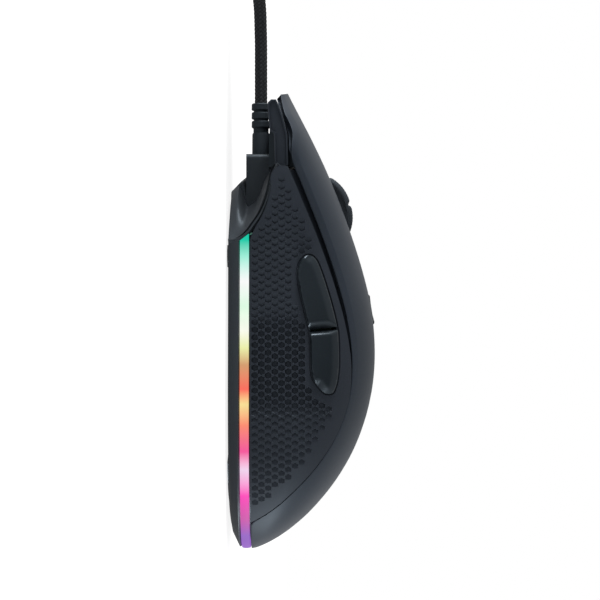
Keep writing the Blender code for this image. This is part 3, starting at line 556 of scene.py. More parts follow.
def coil_slots():
    """Where each turn lies in the coil's section: (radius, height), layer by layer, out and back in."""
    slots = []
    for layer, count in enumerate(LAYERS):
        radii = [COIL_MIDDLE_R + TURN_STEP * (i - (count - 1) / 2) for i in range(count)]
        if layer % 2 == 0:
            radii.reverse()
        slots += [(r, COIL_FLOOR + LAYER_STEP * layer) for r in radii]
    return slots


def coil_path():
    """The turns, clockwise from the lead's arrival: each lies in its slot, then moves over to the next one."""
    slots = coil_slots()
    start = math.atan2(LEAD[-1][1] - COIL_CENTRE[1], LEAD[-1][0] - COIL_CENTRE[0])
    stop = math.atan2(TAIL_LEAD[0][1] - COIL_CENTRE[1], TAIL_LEAD[0][0] - COIL_CENTRE[0])
    travel = 2 * math.pi * (len(slots) - 1) + (start - stop) % (2 * math.pi)
    points = []
    for turned_by in np.arange(math.radians(22), travel - math.radians(10), math.radians(15)):
        turn = int(turned_by // (2 * math.pi))
        part = (turned_by % (2 * math.pi)) / (2 * math.pi)
        (r, z), (next_r, next_z) = slots[turn], slots[min(turn + 1, len(slots) - 1)]
        move = float(ease((part - MOVE_OVER) / (1 - MOVE_OVER)))
        r, z = r + move * (next_r - r), z + move * (next_z - z)
        z += 0.10 * (z - COIL_FLOOR) * math.sin(math.pi * move)
        arriving = 1 - float(ease(turned_by / math.radians(75)))
        leaving = float(ease((turned_by - travel + math.radians(105)) / math.radians(100)))
        r += 5.0 * arriving + (COIL_EXIT[0] - r) * leaving
        z += (COIL_EXIT[1] - z) * leaving + 1.2 * arriving
        angle = start - turned_by
        lying = 1 - math.exp(-((math.remainder(angle, 2 * math.pi) / 0.42) ** 2))
        z -= TIE_LIFT * lying * (1 - arriving) * (1 - 0.5 * leaving)
        points.append((COIL_CENTRE[0] + r * math.cos(angle), COIL_CENTRE[1] + r * math.sin(angle), z))
    return points


def resample(points, spacing):
    """Points along a smooth curve through the given ones, a chosen distance apart."""
    points = np.asarray(points, float)
    along = np.concatenate([[0], np.cumsum(np.linalg.norm(np.diff(points, axis=0), axis=1))])
    curve = [smooth(list(zip(along, column))) for column in points.T]
    at = np.linspace(0, along[-1], max(2, round(along[-1] / spacing) + 1))
    return np.stack([read(at) for read in curve], axis=1), at


def ring_frames(path):
    """Two directions across the path at each of its points, which turn as little as they can."""
    along = np.gradient(path, axis=0)
    along /= np.linalg.norm(along, axis=1)[:, None]
    side = np.cross(along[0], (0, 0, 1.0))
    sides = []
    for direction in along:
        side = side - direction * side.dot(direction)
        side = side / np.linalg.norm(side)
        sides.append(side)
    sides = np.array(sides)
    return sides, np.cross(sides, along)


def braid_ridge(around, along):
    """Height of the braid's strands, 0 to 1, as the braid material draws them."""
    a = BRAID_STRANDS * (around + along / BRAID_PITCH)
    b = BRAID_STRANDS * (around - along / BRAID_PITCH)
    over = (np.floor(a) + np.floor(b)) % 2
    return np.where(over > 0.5, np.abs(np.sin(math.pi * a)), np.abs(np.sin(math.pi * b)))


def cord_tube(path, along, sides, relief):
    """Points, faces and cord coordinates of a closed tube along the path."""
    across, up = ring_frames(path)
    around = np.arange(sides) / sides
    angle = 2 * math.pi * around
    radius = CORD_R + 0.03 - relief * (1 - braid_ridge(around[None, :], along[:, None]))
    ring = across[:, None] * np.cos(angle)[None, :, None] + up[:, None] * np.sin(angle)[None, :, None]
    points = (path[:, None] + radius[..., None] * ring).reshape(-1, 3)
    faces = grid_faces(len(path), sides, around=True)
    coordinates = []
    for i in range(len(path) - 1):
        low, high = along[i], along[i + 1]
        for j in range(sides):
            u, v = around[j], around[j] + 1 / sides
            coordinates += [(u, low), (v, low), (v, high), (u, high)]
    last = (len(path) - 1) * sides
    faces += [list(range(sides))[::-1], [last + j for j in range(sides)]]
    coordinates += [(0, 0)] * 2 * sides
    return points, faces, coordinates


def free_cord(finish):
    """The whole lead as one tube: fine braid relief where it is seen close, plainer in the coil."""
    route = [(0.0, 59.6, CORD_Z)] + LEAD + coil_path() + TAIL_LEAD + [(15.6, 155.0, 4.2)]
    path, _ = resample(route, 0.15)
    along = np.concatenate([[0], np.cumsum(np.linalg.norm(np.diff(path, axis=0), axis=1))])
    near = int(np.argmax(path[:, 1] > 97.0))
    fine = cord_tube(path[:near + 1], along[:near + 1], 64, 0.20)
    rest = slice(near - 2, None, 8)
    coarse = cord_tube(path[rest], along[rest], 16, 0.0)
    offset = len(fine[0])
    points = np.concatenate([fine[0], coarse[0]])
    faces = fine[1] + [[offset + i for i in face] for face in coarse[1]]
    mesh = bpy.data.meshes.new("cord")
    mesh.from_pydata((points * MM).tolist(), [], faces)
    layer = mesh.uv_layers.new(name="cord")
    layer.data.foreach_set("uv", np.array(fine[2] + coarse[2], np.float32).ravel())
    mesh.shade_smooth()
    cord = bpy.data.objects.new("cord", mesh)
    bpy.context.collection.objects.link(cord)
    mesh.materials.append(finish)
    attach(cord, "root")
    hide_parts("cord_lead", "cord_coil", "cord_tail")
    before_coil, _ = resample(route[:len(LEAD) + 1], 4.0)
    after_coil, _ = resample(route[-len(TAIL_LEAD) - 1:], 3.0)
    middle = np.array(route[len(LEAD) + 1:-len(TAIL_LEAD) - 1])
    return cord, np.concatenate([before_coil, middle, after_coil]) * MM


TIE_SECTION = [  # across the strap, and out from its inner face
    (-5.0, 0.35), (-4.7, 0.0), (4.7, 0.0), (5.0, 0.35), (5.0, 0.6), (4.7, 0.95), (-4.7, 0.95), (-5.0, 0.6),
]
TIE_SIDES = 96
TIE_SQUARENESS = 3.4  # exponent of the strap's outline round the coil


def cord_tie(finish):
    """A hook-and-loop strap round the coil, its end lying over the start."""
    centre_x, middle_z = COIL_CENTRE[0] + COIL_MIDDLE_R, 7.5
    rings = []
    for width, out in TIE_SECTION:
        ring = []
        for angle in np.linspace(0, 2 * math.pi, TIE_SIDES, endpoint=False):
            c, s = math.cos(angle), math.sin(angle)
            scale = (abs(c) ** TIE_SQUARENESS + abs(s) ** TIE_SQUARENESS) ** (-1 / TIE_SQUARENESS)
            overlap = 0.85 * float(ease((angle - 0.5) / 0.2)) * float(ease((2.6 - angle) / 0.2))
            reach = out + (overlap if out > 0.5 else 0.0)
            x = centre_x + (7.75 + reach) * scale * c
            z = middle_z + (6.55 + reach) * scale * s
            ring.append((x, COIL_CENTRE[1] + width, z))
        rings.append(ring)
    rings.append(rings[0])
    tie = loft("cord_tie_strap", rings, finish, capped=False)
    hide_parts("cord_tie")
    return tie


PLUG_START = 14.8
PLUG_Y = 155.0
PLUG_Z = 4.2


def rounded_section(half_y, half_z, corner, steps=6):
    """A rectangle with round corners, as (y, z) points."""
    points = []
    for quarter, (sy, sz) in enumerate(((1, 1), (-1, 1), (-1, -1), (1, -1))):
        for angle in np.linspace(0, math.pi / 2, steps) + quarter * math.pi / 2:
            y = sy * (half_y - corner) + corner * math.cos(angle)
            points.append((y, sz * (half_z - corner) + corner * math.sin(angle)))
    return points


def plug(rubber, metal, ivory):
    """A moulded grip with finger ribs, the folded metal shell with its two catches, and the contact tongue."""
    sections = [(0.0, 2.4, 2.35, 2.3), (0.5, 2.7, 2.6, 2.4), (4.5, 3.0, 2.7, 2.5), (5.4, 5.2, 3.4, 2.6),
                (6.6, 7.2, 4.0, 2.2), (8.0, 7.7, 4.15, 1.8)]
    for rib in range(5):
        start = 9.6 + rib * 1.8
        sections += [(start, 7.7, 4.15, 1.8), (start + 0.25, 7.35, 3.85, 1.6),
                     (start + 0.75, 7.35, 3.85, 1.6), (start + 1.0, 7.7, 4.15, 1.8)]
    sections += [(22.0, 7.7, 4.15, 1.8), (22.6, 7.4, 3.9, 1.6), (22.8, 7.0, 3.5, 1.4)]
    rings = []
    for along, half_y, half_z, corner in sections:
        corner = min(corner, half_z - 0.05)
        section = rounded_section(half_y, half_z, corner)
        rings.append([(PLUG_START + along, PLUG_Y + y, PLUG_Z + z) for y, z in section])
    grip = loft("plug_grip_moulded", rings, rubber)
    face = PLUG_START + 23.1
    outside, inside = rounded_section(6.0, 2.25, 0.5), rounded_section(5.65, 1.9, 0.25)
    stations = [(0.0, outside), (11.6, outside), (12.0, [(0.985 * y, 0.96 * z) for y, z in outside]),
                (12.0, [(0.99 * y, 0.98 * z) for y, z in inside]), (11.6, inside), (1.0, inside)]
    rings = [[(face + x, PLUG_Y + y, PLUG_Z + z) for y, z in ring] for x, ring in stations]
    shell = loft("plug_shell_folded", rings, metal)
    for side in (-1, 1):
        catch = PLUG_Y + side * 2.9
        cut_box(shell, (face + 4.2, catch - 1.15, PLUG_Z + 1.0), (face + 6.4, catch + 1.15, 9))
    tongue = rounded_section(5.2, 0.85, 0.15, 3)
    rings = [[(face + x, PLUG_Y + y, PLUG_Z - 0.75 + z) for y, z in tongue] for x in (1.4, 11.2)]
    insulator = loft("plug_tongue", rings, ivory, bevel=0.1)
    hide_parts("plug_grip")
    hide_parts("plug_shell")
    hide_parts("plug_insulator")
    return [grip, shell, insulator]


def cut_box(piece, low, high):
    """Cuts a box-shaped hole in the piece."""
    (x0, y0, z0), (x1, y1, z1) = low, high
    rings = [[(x0, y0, z), (x1, y0, z), (x1, y1, z), (x0, y1, z)] for z in (z0, z1)]
    cut_with(piece, loft("cutter", rings, piece.data.materials[0], body=None))


def cut_through(piece, outline, centre_y, low, high):
    """Cuts an upright opening with this (x, y) outline."""
    rings = [[(x, centre_y + y, z) for x, y in outline] for z in (low, high)]
    cut_with(piece, loft("cutter", rings, piece.data.materials[0], body=None))


def cut_with(piece, cutter):
    """Takes the cutter's solid out of the piece, and removes the cutter."""
    step = piece.modifiers.new("cut", "BOOLEAN")
    step.operation = "DIFFERENCE"
    step.object = cutter
    settle(piece)
    bpy.data.objects.remove(cutter)


# ---------------------------------------------------------------- crown shells

SPINE_HALF = 6.5
SPINE_DROP = 0.7
SKIN = 1.9  # wall of the fine shells
BAND = [  # height of the chamfered band along the shells' lower edge
    (-40.0, 1.2), (-8.0, 1.6), (10.0, 1.9), (41.0, 2.0), (43.5, 2.0), (52.0, 1.9), (58.0, 2.4), (NOSE, 1.6),
]
CHAMFER = [  # how far the band's foot is drawn in
    (TAIL, 0.0), (-30.0, 0.02), (-8.0, 0.25), (12.0, 0.8), (40.0, 1.25), (42.8, 1.25), (43.3, 0.95),
    (56.0, 1.0), (NOSE, 1.0),
]
BAND_STEPS = np.array([0.0, 0.06, 0.16, 0.45, 0.8, 0.97, 1.0])
BUTTON_POST, POST_FOOT = (15.0, 21.0), 14.05  # over a main button's switch: (across, along), and its lower end
band_height = smooth(BAND)
chamfer_depth = smooth(CHAMFER)


def tail_stations(front, straight_steps, round_steps):
    """Positions along the length from the front to the tail, closer together where the outline rounds off."""
    angles = np.linspace(0, math.pi / 2, round_steps)
    round_part = TAIL_ROUND_FROM + (TAIL - TAIL_ROUND_FROM) * np.sin(angles) ** (2 / ROUNDNESS)
    return np.concatenate([np.linspace(front, TAIL_ROUND_FROM, straight_steps, endpoint=False), round_part])


def crown_section(y, innermost, steps=34):
    """The crown's cross-section from the lower edge up to x = innermost, with the chamfer along that edge."""
    low, top, band = float(seam(y)), float(crown(y)), float(band_height(y))
    band = min(band, 0.45 * (top - low))
    edge = low + band * BAND_STEPS
    upper = low + band + (top - low - band) * np.sin(np.linspace(0, math.pi / 2, steps)[1:])
    z = np.concatenate([edge, upper])
    x = half_width(y, z)
    below = np.clip(1 - (z - low) / band, 0, 1)
    chamfer = float(chamfer_depth(y))
    x = x - chamfer * below - 0.14 * np.clip(1 - (z - low) / (0.16 * band), 0, 1) ** 2
    if innermost:
        keep = np.linspace(0, 1, len(z))
        reach = np.interp(innermost, x[::-1], keep[::-1])
        count = len(BAND_STEPS)
        at = np.concatenate([keep[:count], np.linspace(keep[count - 1], reach, steps)[1:]])
        x, z = np.interp(at, keep, x), np.interp(at, keep, z)
    return np.stack([np.maximum(x, innermost), np.full(len(x), y), z], axis=1)


def tucked_nose(points):
    """Rounds the buttons' tips in plan."""
    points = points.copy()
    near = ease((points[..., 1] - 50.0) / (NOSE - 50.0))
    across = np.abs(points[..., 0])
    points[..., 1] -= near * (0.10 * across + 0.4 * (across / 20) ** 3)
    return points


def crown_skins(finish):
    """The palm shell and both main buttons: one surface, split where the buttons start to bend."""
    rows = []
    for y in tail_stations(HINGE_Y, 9, 40):
        y = max(y, TAIL + 0.02)
        right = crown_section(y, 0.0)
        rows.append(np.concatenate([right, right[-2::-1] * (-1, 1, 1)]))
    last = rows[-1]  # closes the tail down to the seam
    last[:, 0], last[:, 2] = np.linspace(last[0, 0], last[-1, 0], len(last)), last[0, 2]
    palm = sheet("palm_skin", rows, finish, SKIN, (0, -20, 10))
    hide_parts("palm_cover")
    parts = [np.linspace(HINGE_Y, 40.0, 42), np.linspace(40.6, 42.8, 4), np.linspace(43.3, NOSE, 24)]
    ys = np.concatenate(parts)
    for side, name in ((-1, "left_button"), (1, "right_button")):
        rows = tucked_nose(np.array([crown_section(y, SPINE_HALF + 0.3) for y in ys]))
        skin = sheet(f"{name}_skin", rows * (side, 1, 1), finish, SKIN, (0, 20, 10), body=None)
        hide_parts(name)
        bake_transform(skin)
        x, y = side * BUTTON_POST[0], BUTTON_POST[1]
        post = rounded_post(f"{name}_post", (x, y), POST_FOOT, float(crown(y)) - 3.0, finish, name)


def rounded_post(name, centre, low, high, finish, body):
    """The post that presses a button's switch."""
    rings = []
    for z, half in ((low, 1.7), (low + 0.3, 2.0), (high - 3.0, 2.0), (high, 3.2)):
        rings.append([(centre[0] + x, centre[1] + y, z) for x, y in rounded_section(half, half, 0.5, 3)])
    return loft(name, rings, finish, body)


WHEEL_SLOT, WHEEL_SLOT_Y = (4.6, 14.5, 3.2), 29.0  # half sizes and corner radius, and place
DPI_HOLE, DPI_Y = (3.5, 4.7, 1.0), 3.0


def spine_top(x, y):
    """Height of the spine's upper face, which drops off a little towards its sides."""
    return float(crown(y)) - SPINE_DROP - 0.35 * (abs(x) / SPINE_HALF) ** 4


def centre_spine(finish):
    """The recessed strip between the buttons, with the wheel's slot and the sensitivity button's opening."""
    rows = []
    for y in np.linspace(HINGE_Y, 60.0, 50):
        rows.append([(x, y, spine_top(x, y)) for x in np.linspace(-SPINE_HALF, SPINE_HALF, 19)])
    spine = sheet("centre_spine_skin", rows, finish, 2.0, (0, 20, 10))
    cut_through(spine, rounded_section(*WHEEL_SLOT), WHEEL_SLOT_Y, 15, 45)
    cut_through(spine, rounded_section(*DPI_HOLE), DPI_Y, 20, 50)
    round_edges(spine, 0.2)
    settle(spine)
    sharpen(spine, 30)
    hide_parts("centre_spine")


SHROUD_HALF, SHROUD_REAR, SHROUD_CORNER = 5.9, 13.3, 3.8  # half width, rear wall, corner radius
SHROUD_FLOOR = 25.0  # just above the wheel's carrier


def wheel_shroud(finish):
    """A wall under the spine round the wheel's sides and rear, so that the slot doesn't show the inside."""
    corner = []
    for a in np.linspace(math.pi / 2, 0, 8):
        corner.append((SHROUD_HALF - SHROUD_CORNER * (1 - math.sin(a)),
                       SHROUD_REAR + SHROUD_CORNER * (1 - math.cos(a))))
    right = [(SHROUD_HALF, y) for y in (38.0, 30.0, 24.0)] + corner
    rows = []
    for x, y in right + [(-x, y) for x, y in reversed(right)]:
        under_spine = spine_top(x, y) - 1.8
        rows.append([(x, y, under_spine), (x, y, min(SHROUD_FLOOR, under_spine - 1.0))])
    shroud = sheet("wheel_shroud", rows, finish, 0.7, (0, 29, 30))


DPI_FOOT = 11.9  # height of the stem's foot, just above its switch
DPI_STATIONS = [  # along from the middle, height over the spine, and how much the section narrows
    (-4.35, -2.2, 0.0), (-4.35, 0.25, 0.05), (-4.1, 0.95, 0.15), (-3.6, 1.15, 0.2), (-1.5, 0.85, 0.2),
    (1.5, 0.85, 0.2), (3.7, 1.05, 0.2), (4.2, 0.7, 0.15), (4.35, 0.2, 0.05), (4.35, -2.2, 0.0),
]
DPI_SECTION = [  # across, and down from the top
    (3.2, 0.9), (3.1, 0.35), (2.7, 0.08), (1.5, 0.0), (0, 0.02), (-1.5, 0.0), (-2.7, 0.08), (-3.1, 0.35),
    (-3.2, 0.9),
]


def dpi_button(finish):
    """The sensitivity button: a pillow with a ridge at its rear edge, and its stem."""
    rings = []
    for y, rise, narrow in DPI_STATIONS:
        base = float(crown(DPI_Y + y)) - SPINE_DROP
        ring = []
        for x, drop in DPI_SECTION:
            ring.append((x * (1 - 0.1 * narrow), DPI_Y + y, base + rise - drop * (0.4 + narrow)))
        ring += [(-3.2, DPI_Y + y, base - 2.3), (3.2, DPI_Y + y, base - 2.3)]
        rings.append(ring)
    cap = loft("dpi_button_cap", rings, finish, "dpi_button")
    top = float(crown(DPI_Y))
    profile = [(DPI_FOOT, 1.3), (DPI_FOOT + 0.3, 1.5), (top - 4.0, 1.5), (top - 2.8, 2.2)]
    stem = turned("dpi_button_stem", profile, finish, (0, DPI_Y, 0), "Z", 24, "dpi_button")
    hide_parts("dpi_button")


# ---------------------------------------------------------------- side panels

SEAM_GAP = [(-54.0, 0.25), (-12.0, 0.3), (-6.0, 0.6), (3.0, 1.0), (20.0, 1.35), (41.0, 1.7)]
PANEL_LOWER = [(22.0, 6.5), (24.0, 7.4), (28.1, 9.7), (34.8, 11.9), (40.2, 12.9), (41.3, 14.2)]
PANEL_BACK, PANEL_FRONT = -54.2, 41.3
POCKET = [  # the thumb buttons' pocket, as (along, up) in side view
    (17.9, 21.7), (16.4, 19.6), (13.4, 18.6), (11.0, 18.7), (6.5, 19.6), (2.0, 20.7), (-3.8, 21.9), (-13.3, 22.3),
    (-16.8, 23.7), (-19.4, 26.3), (-18.8, 29.0), (-13.3, 30.3), (-4.3, 30.3), (0.2, 29.6), (7.0, 27.8), (13.7, 25.6),
    (17.0, 23.9),
]
HEX_FIELD = [  # the part of the panel that has cells
    (39.2, 15.1), (36.3, 16.3), (31.2, 18.5), (26.0, 20.7), (23.2, 21.9), (19.4, 22.3), (17.6, 21.0), (12.6, 17.2),
    (8.6, 17.4), (0.7, 20.0), (-8.8, 20.9), (-15.6, 21.6), (-18.8, 22.7), (-20.9, 24.6), (-22.4, 28.6), (-26.6, 27.0),
    (-32.0, 24.5), (-34.8, 22.5), (-38.9, 19.4), (-42.7, 15.7), (-46.1, 11.7), (-49.2, 7.6), (21.6, 7.6), (24.6, 8.8),
    (27.6, 10.6), (31.0, 12.2), (34.6, 13.2), (38.0, 14.2),
]
HIGH_FIELD = [(12.0, 26.3), (0.0, 29.6), (-10.0, 30.7)]  # the field's upper edge where there is no pocket
HEX_FIRST = (-0.31, 7.72)  # centre of one cell of the lowest row
HEX_STEP_Y, HEX_STEP_Z = 2.0, 1.775
HEX_OUTER, HEX_INNER = 0.98, 0.80  # radius of a cell at the surface and at its floor
HEX_DEPTH = 0.60
SCOOPED_AHEAD_OF, SCOOPED_BEHIND = -2.5, -19.0  # the cells slope up towards the nose, or towards the tail
seam_gap = smooth(SEAM_GAP)
panel_lower = smooth(PANEL_LOWER)


def inside(spots, outline):
    """Whether each of the points lies inside a closed outline."""
    y, z = np.asarray(spots, float).T[:, :, None]
    (y0, z0), (y1, z1) = np.asarray(outline, float).T, np.roll(np.asarray(outline, float), -1, axis=0).T
    with np.errstate(divide="ignore", invalid="ignore"):
        crossed = ((z0 > z) != (z1 > z)) & (y < (y1 - y0) * (z - z0) / (z1 - z0) + y0)
    return crossed.sum(axis=1) % 2 == 1


def edge_distance(spots, outline, closed=True):
    """Distance from each of the points to an outline."""
    spots, start = np.asarray(spots, float)[:, None], np.asarray(outline, float)
    stop = np.roll(start, -1, axis=0) if closed else start[1:]
    start = start if closed else start[:-1]
    run = stop - start
    t = np.clip(((spots - start) * run).sum(axis=2) / (run**2).sum(axis=1), 0, 1)
    return np.linalg.norm(start + t[..., None] * run - spots, axis=2).min(axis=1)


def closed_curve(corners, spacing):
    """Evenly spaced points on a smooth closed curve through the corners."""
    corners = np.asarray(corners, float)
    parts = []
    for i in range(len(corners)):
        a, b, c, d = (corners[(i + k) % len(corners)] for k in (-1, 0, 1, 2))
        t = np.linspace(0, 1, 24, endpoint=False)[:, None]
        bend, twist = 2 * a - 5 * b + 4 * c - d, 3 * b - a - 3 * c + d
        parts.append(0.5 * (2 * b + (c - a) * t + bend * t**2 + twist * t**3))
    curve = np.concatenate(parts + [parts[0][:1]])
    along = np.concatenate([[0], np.cumsum(np.linalg.norm(np.diff(curve, axis=0), axis=1))])
    at = np.linspace(0, along[-1], round(along[-1] / spacing), endpoint=False)
    return np.stack([np.interp(at, along, column) for column in curve.T], axis=1)


def drawn_in(outline, distance):
    """A closed outline moved inwards by a distance."""
    outline = np.asarray(outline, float)
    run = np.roll(outline, -1, axis=0) - np.roll(outline, 1, axis=0)
    normal = np.stack([-run[:, 1], run[:, 0]], axis=1) / np.linalg.norm(run, axis=1)[:, None]
    moved = outline + normal * distance
    if not inside(moved[:1], outline)[0]:
        moved = outline - normal * distance
    return moved


def spots_between(low, high, spacing):
    """A grid of (along, up) points."""
    grid = np.mgrid[low[0]:high[0]:spacing, low[1]:high[1]:spacing]
    return grid.reshape(2, -1).T


def panel_outline():
    """The panel's outline in side view: up its rear, along the seam to the nose, and back below."""
    upper = [(y, float(seam(y) - seam_gap(y))) for y in np.arange(PANEL_BACK + 0.9, PANEL_FRONT, 0.8)]
    lower = [(y, float(panel_lower(y))) for y in np.arange(PANEL_FRONT, 22.0, -0.8)]
    base = [(y, 6.5) for y in np.arange(21.6, PANEL_BACK, -0.9)]
    return upper + lower + base


def hexagon_cells(field, outline, pocket):
    """Centres of the sunk cells: every place of the lattice that has room in the field."""
    cells = []
    for column in range(16):
        for row in range(-27, 21):
            along = HEX_FIRST[0] + (row - 0.5 * (column % 2)) * HEX_STEP_Y
            cells.append((along, HEX_FIRST[1] + column * HEX_STEP_Z))
    cells = np.array(cells)
    kept = inside(cells, field) & (edge_distance(cells, outline) > 1.2)
    if len(pocket):
        kept &= edge_distance(cells, pocket) > 1.3
    return cells[kept]


def side_panel(side, finish):
    """A grip panel with its field of sunk hexagons; the left one also has the thumb buttons' pocket."""
    outline = np.array(panel_outline())
    pocket = closed_curve(POCKET, 0.6) if side < 0 else np.empty((0, 2))
    field = HEX_FIELD if side < 0 else HEX_FIELD[:5] + HIGH_FIELD + HEX_FIELD[14:]
    cells = hexagon_cells(field, outline, pocket)
    points, depths, edges = [], [], []

    def add_loop(loop, loop_depths):
        first = len(points)
        points.extend(tuple(spot) for spot in loop)
        depths.extend(loop_depths)
        edges.extend((first + i, first + (i + 1) % len(loop)) for i in range(len(loop)))

    add_loop(outline, [0.0] * len(outline))
    if side < 0:
        add_loop(pocket, [0.0] * len(pocket))
    corners = np.radians(np.arange(0, 360, 60))
    corners = np.stack([np.cos(corners), np.sin(corners)], axis=1)
    for cell in cells:
        add_loop(cell + HEX_OUTER * corners, [0.0] * 6)
        to_nose = float(ease((cell[0] - SCOOPED_AHEAD_OF) / 6.0))
        to_tail = float(ease((SCOOPED_BEHIND - cell[0]) / 8.0))
        lifted = to_nose * (0.5 + 0.5 * corners[:, 0]) + to_tail * (0.5 - 0.5 * corners[:, 0])
        scoop = to_nose + to_tail
        floor = HEX_DEPTH * (1 - lifted) * (1 - 0.25 * scoop)
        add_loop(cell + (HEX_INNER * (1 - 0.06 * scoop)) * corners - (0.10 * (to_nose - to_tail), 0), floor)
    spots = spots_between((PANEL_BACK, 7.3), (PANEL_FRONT, 36), 1.3)
    room = inside(spots, outline) & (edge_distance(spots, outline) > 0.5)
    room &= np.min(np.linalg.norm(spots[:, None] - cells, axis=2), axis=1) > 1.3
    if side < 0:
        room &= ~inside(spots, pocket) & (edge_distance(spots, pocket) > 0.5)
    points.extend(tuple(spot) for spot in spots[room])
    depths.extend([0.0] * int(room.sum()))
    made, _, faces, _, _, _ = geometry.delaunay_2d_cdt([Vector(p) for p in points], edges, [], 0, 1e-5)
    middles = np.array([np.mean([made[i] for i in face], axis=0) for face in faces])
    kept = inside(middles, outline)
    if side < 0:
        kept &= ~inside(middles, pocket)
    made = np.array(made)
    depths = np.concatenate([depths, np.zeros(len(made) - len(depths))])
    lifted = np.stack([side * (half_width(*made.T) - depths), *made.T], axis=1)
    name = "left_side_panel" if side < 0 else "right_side_panel"
    faces = [list(face) for face, keep in zip(faces, kept) if keep]
    panel = add_mesh(f"{name}_skin", lifted, faces, finish, angle=24, outward_from=(0, 0, 15))
    thicken(panel, 1.6, angle=24)
    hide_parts(name)
    tongue(side, finish, name)
    if side < 0:
        pocket_cup(pocket, finish)


def tongue(side, finish, name):
    """The wall behind the groove above the panel, so that the groove ends in shadow."""
    rows = []
    for y in np.arange(-52.0, PANEL_FRONT + 0.1, 1.2):
        low, high = float(seam(y) - seam_gap(y)) - 1.6, float(seam(y)) + 1.2
        rows.append([(side * (float(half_width(y, z)) - 3.0), y, z) for z in np.linspace(low, high, 4)])
    wall = sheet(f"{name}_tongue", rows, finish, 0.9, (0, 0, 15))


def pocket_cup(pocket, finish):
    """The pocket's walls, and its floor with the slot that the thumb buttons' stems pass through."""
    rows = []
    for depth, inward in ((0.4, 0.0), (1.5, 0.05), (5.1, 0.05), (5.1, 1.6)):
        loop = drawn_in(pocket, inward) if inward else pocket
        loop = np.concatenate([loop, loop[:1]])
        rows.append(np.stack([-(half_width(*loop.T) - depth), *loop.T], axis=1))
    cup = sheet("pocket_cup", rows, finish, 0.7, (-60, 0, 25))


GROOVE = 0.42  # clearance round the thumb buttons
SPLIT_Y, SPLIT_Z, SPLIT_LEAN = -2.3, 24.6, 0.10  # where the thumb buttons meet, and how their ends lean
THUMB_RISE = 1.75  # how far the thumb buttons stand out of the panel
THUMB_SWITCH_Y = {"forward_button": 8.0, "back_button": -11.0}
THUMB_STEM_Z = 24.6
UPPER_EDGE = (24.2, 0.10)  # the rim counts as upper above this height, less this much per mm forward


def thumb_button(name, end, finish):
    """A faceted thumb button: a main face, a wide upper facet, a narrow rim, and a slope to the split."""
    loop = drawn_in(closed_curve(POCKET, 0.4), GROOVE)
    beyond = end * (loop[:, 0] - SPLIT_Y - SPLIT_LEAN * (loop[:, 1] - SPLIT_Z)) - 0.16
    first = int(np.argmax((beyond > 0) & (np.roll(beyond, 1) <= 0)))
    loop, beyond = np.roll(loop, -first, axis=0), np.roll(beyond, -first)
    loop = loop[beyond > 0]
    stop, start = loop[-1], loop[0]
    closing = np.linspace(stop, start, round(math.dist(stop, start) / 0.4) + 1)[1:-1]
    rim = np.concatenate([loop, closing])
    upper = loop[loop[:, 1] > UPPER_EDGE[0] - UPPER_EDGE[1] * np.maximum(loop[:, 0], 0.0)]
    spots = spots_between(rim.min(axis=0), rim.max(axis=0), 0.33)
    spots = spots[inside(spots, rim) & (edge_distance(spots, rim) > 0.16)]
    points = np.concatenate([rim, spots])
    edges = [(i, (i + 1) % len(rim)) for i in range(len(rim))]
    made, _, faces, _, _, _ = geometry.delaunay_2d_cdt([Vector(p) for p in points], edges, [], 1, 1e-5)
    made = np.array(made)
    slope, foot = (0.85, 0.15) if end > 0 else (1.5, 0.35)
    rise = np.stack([
        np.full(len(made), THUMB_RISE),
        0.75 + 0.55 * edge_distance(made, upper, closed=False),
        1.15 + 2.4 * edge_distance(made, rim),
        foot + slope * edge_distance(made, np.array([stop, start]), closed=False),
    ])
    rise = -0.09 * np.log(np.exp(-rise / 0.09).sum(axis=0))
    count = len(made)
    top = np.stack([-(half_width(*made.T) + rise), *made.T], axis=1)
    rim_count = len(rim)
    bottom = np.stack([-(half_width(*rim.T) - 3.0), *rim.T], axis=1)
    faces = [list(face) for face in faces]
    faces += [[i, (i + 1) % rim_count, count + (i + 1) % rim_count, count + i] for i in range(rim_count)]
    faces.append([count + i for i in range(rim_count)])
    cap = add_mesh(f"{name}_cap", np.concatenate([top, bottom]), faces, finish, name, angle=50)
    y = THUMB_SWITCH_Y[name]
    rings = []
    for x, half in ((-29.2, 1.5), (-28.0, 1.4), (-25.4, 1.4), (-25.2, 1.2)):
        rings.append([(x, y + a, THUMB_STEM_Z + b) for a, b in rounded_section(half, half * 0.9, 0.4, 3)])
    stem = loft(f"{name}_stem", rings, finish, name)
    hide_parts(name)


# ---------------------------------------------------------------- light strip and base

FACET_AT = 21.6  # where the tray's side wall ends and the nose begins
STRIP_SECTION = [  # inset from the outline, and height as a share of the strip's
    (0.45, 0.0), (0.12, 0.05), (0.0, 0.25), (-0.03, 0.5), (0.0, 0.75), (0.12, 0.95), (0.45, 1.0), (2.2, 1.0),
    (2.2, 0.0),
]
STRIP_SINK = 0.05  # how far the strip lies in from the body's outline
BACKING_INSET, BACKING_HEIGHTS = 2.4, (3.2, 7.2)


def outward(path):
    """Unit normals in plan that point out of the body, for a path from its right side round the tail to its left."""
    along = np.gradient(np.asarray(path)[:, :2], axis=0)
    along /= np.linalg.norm(along, axis=1)[:, None]
    return np.stack([-along[:, 1], along[:, 0]], axis=1)


def rim_path(front, z, straight_steps=30, round_steps=44):
    """The body's outline at height z, from its right front round the tail to its left front."""
    ys = tail_stations(front, straight_steps, round_steps)
    right = np.stack([half_width(ys, z), ys, np.full(len(ys), z)], axis=1)
    return np.concatenate([right, right[-2::-1] * (-1, 1, 1)])


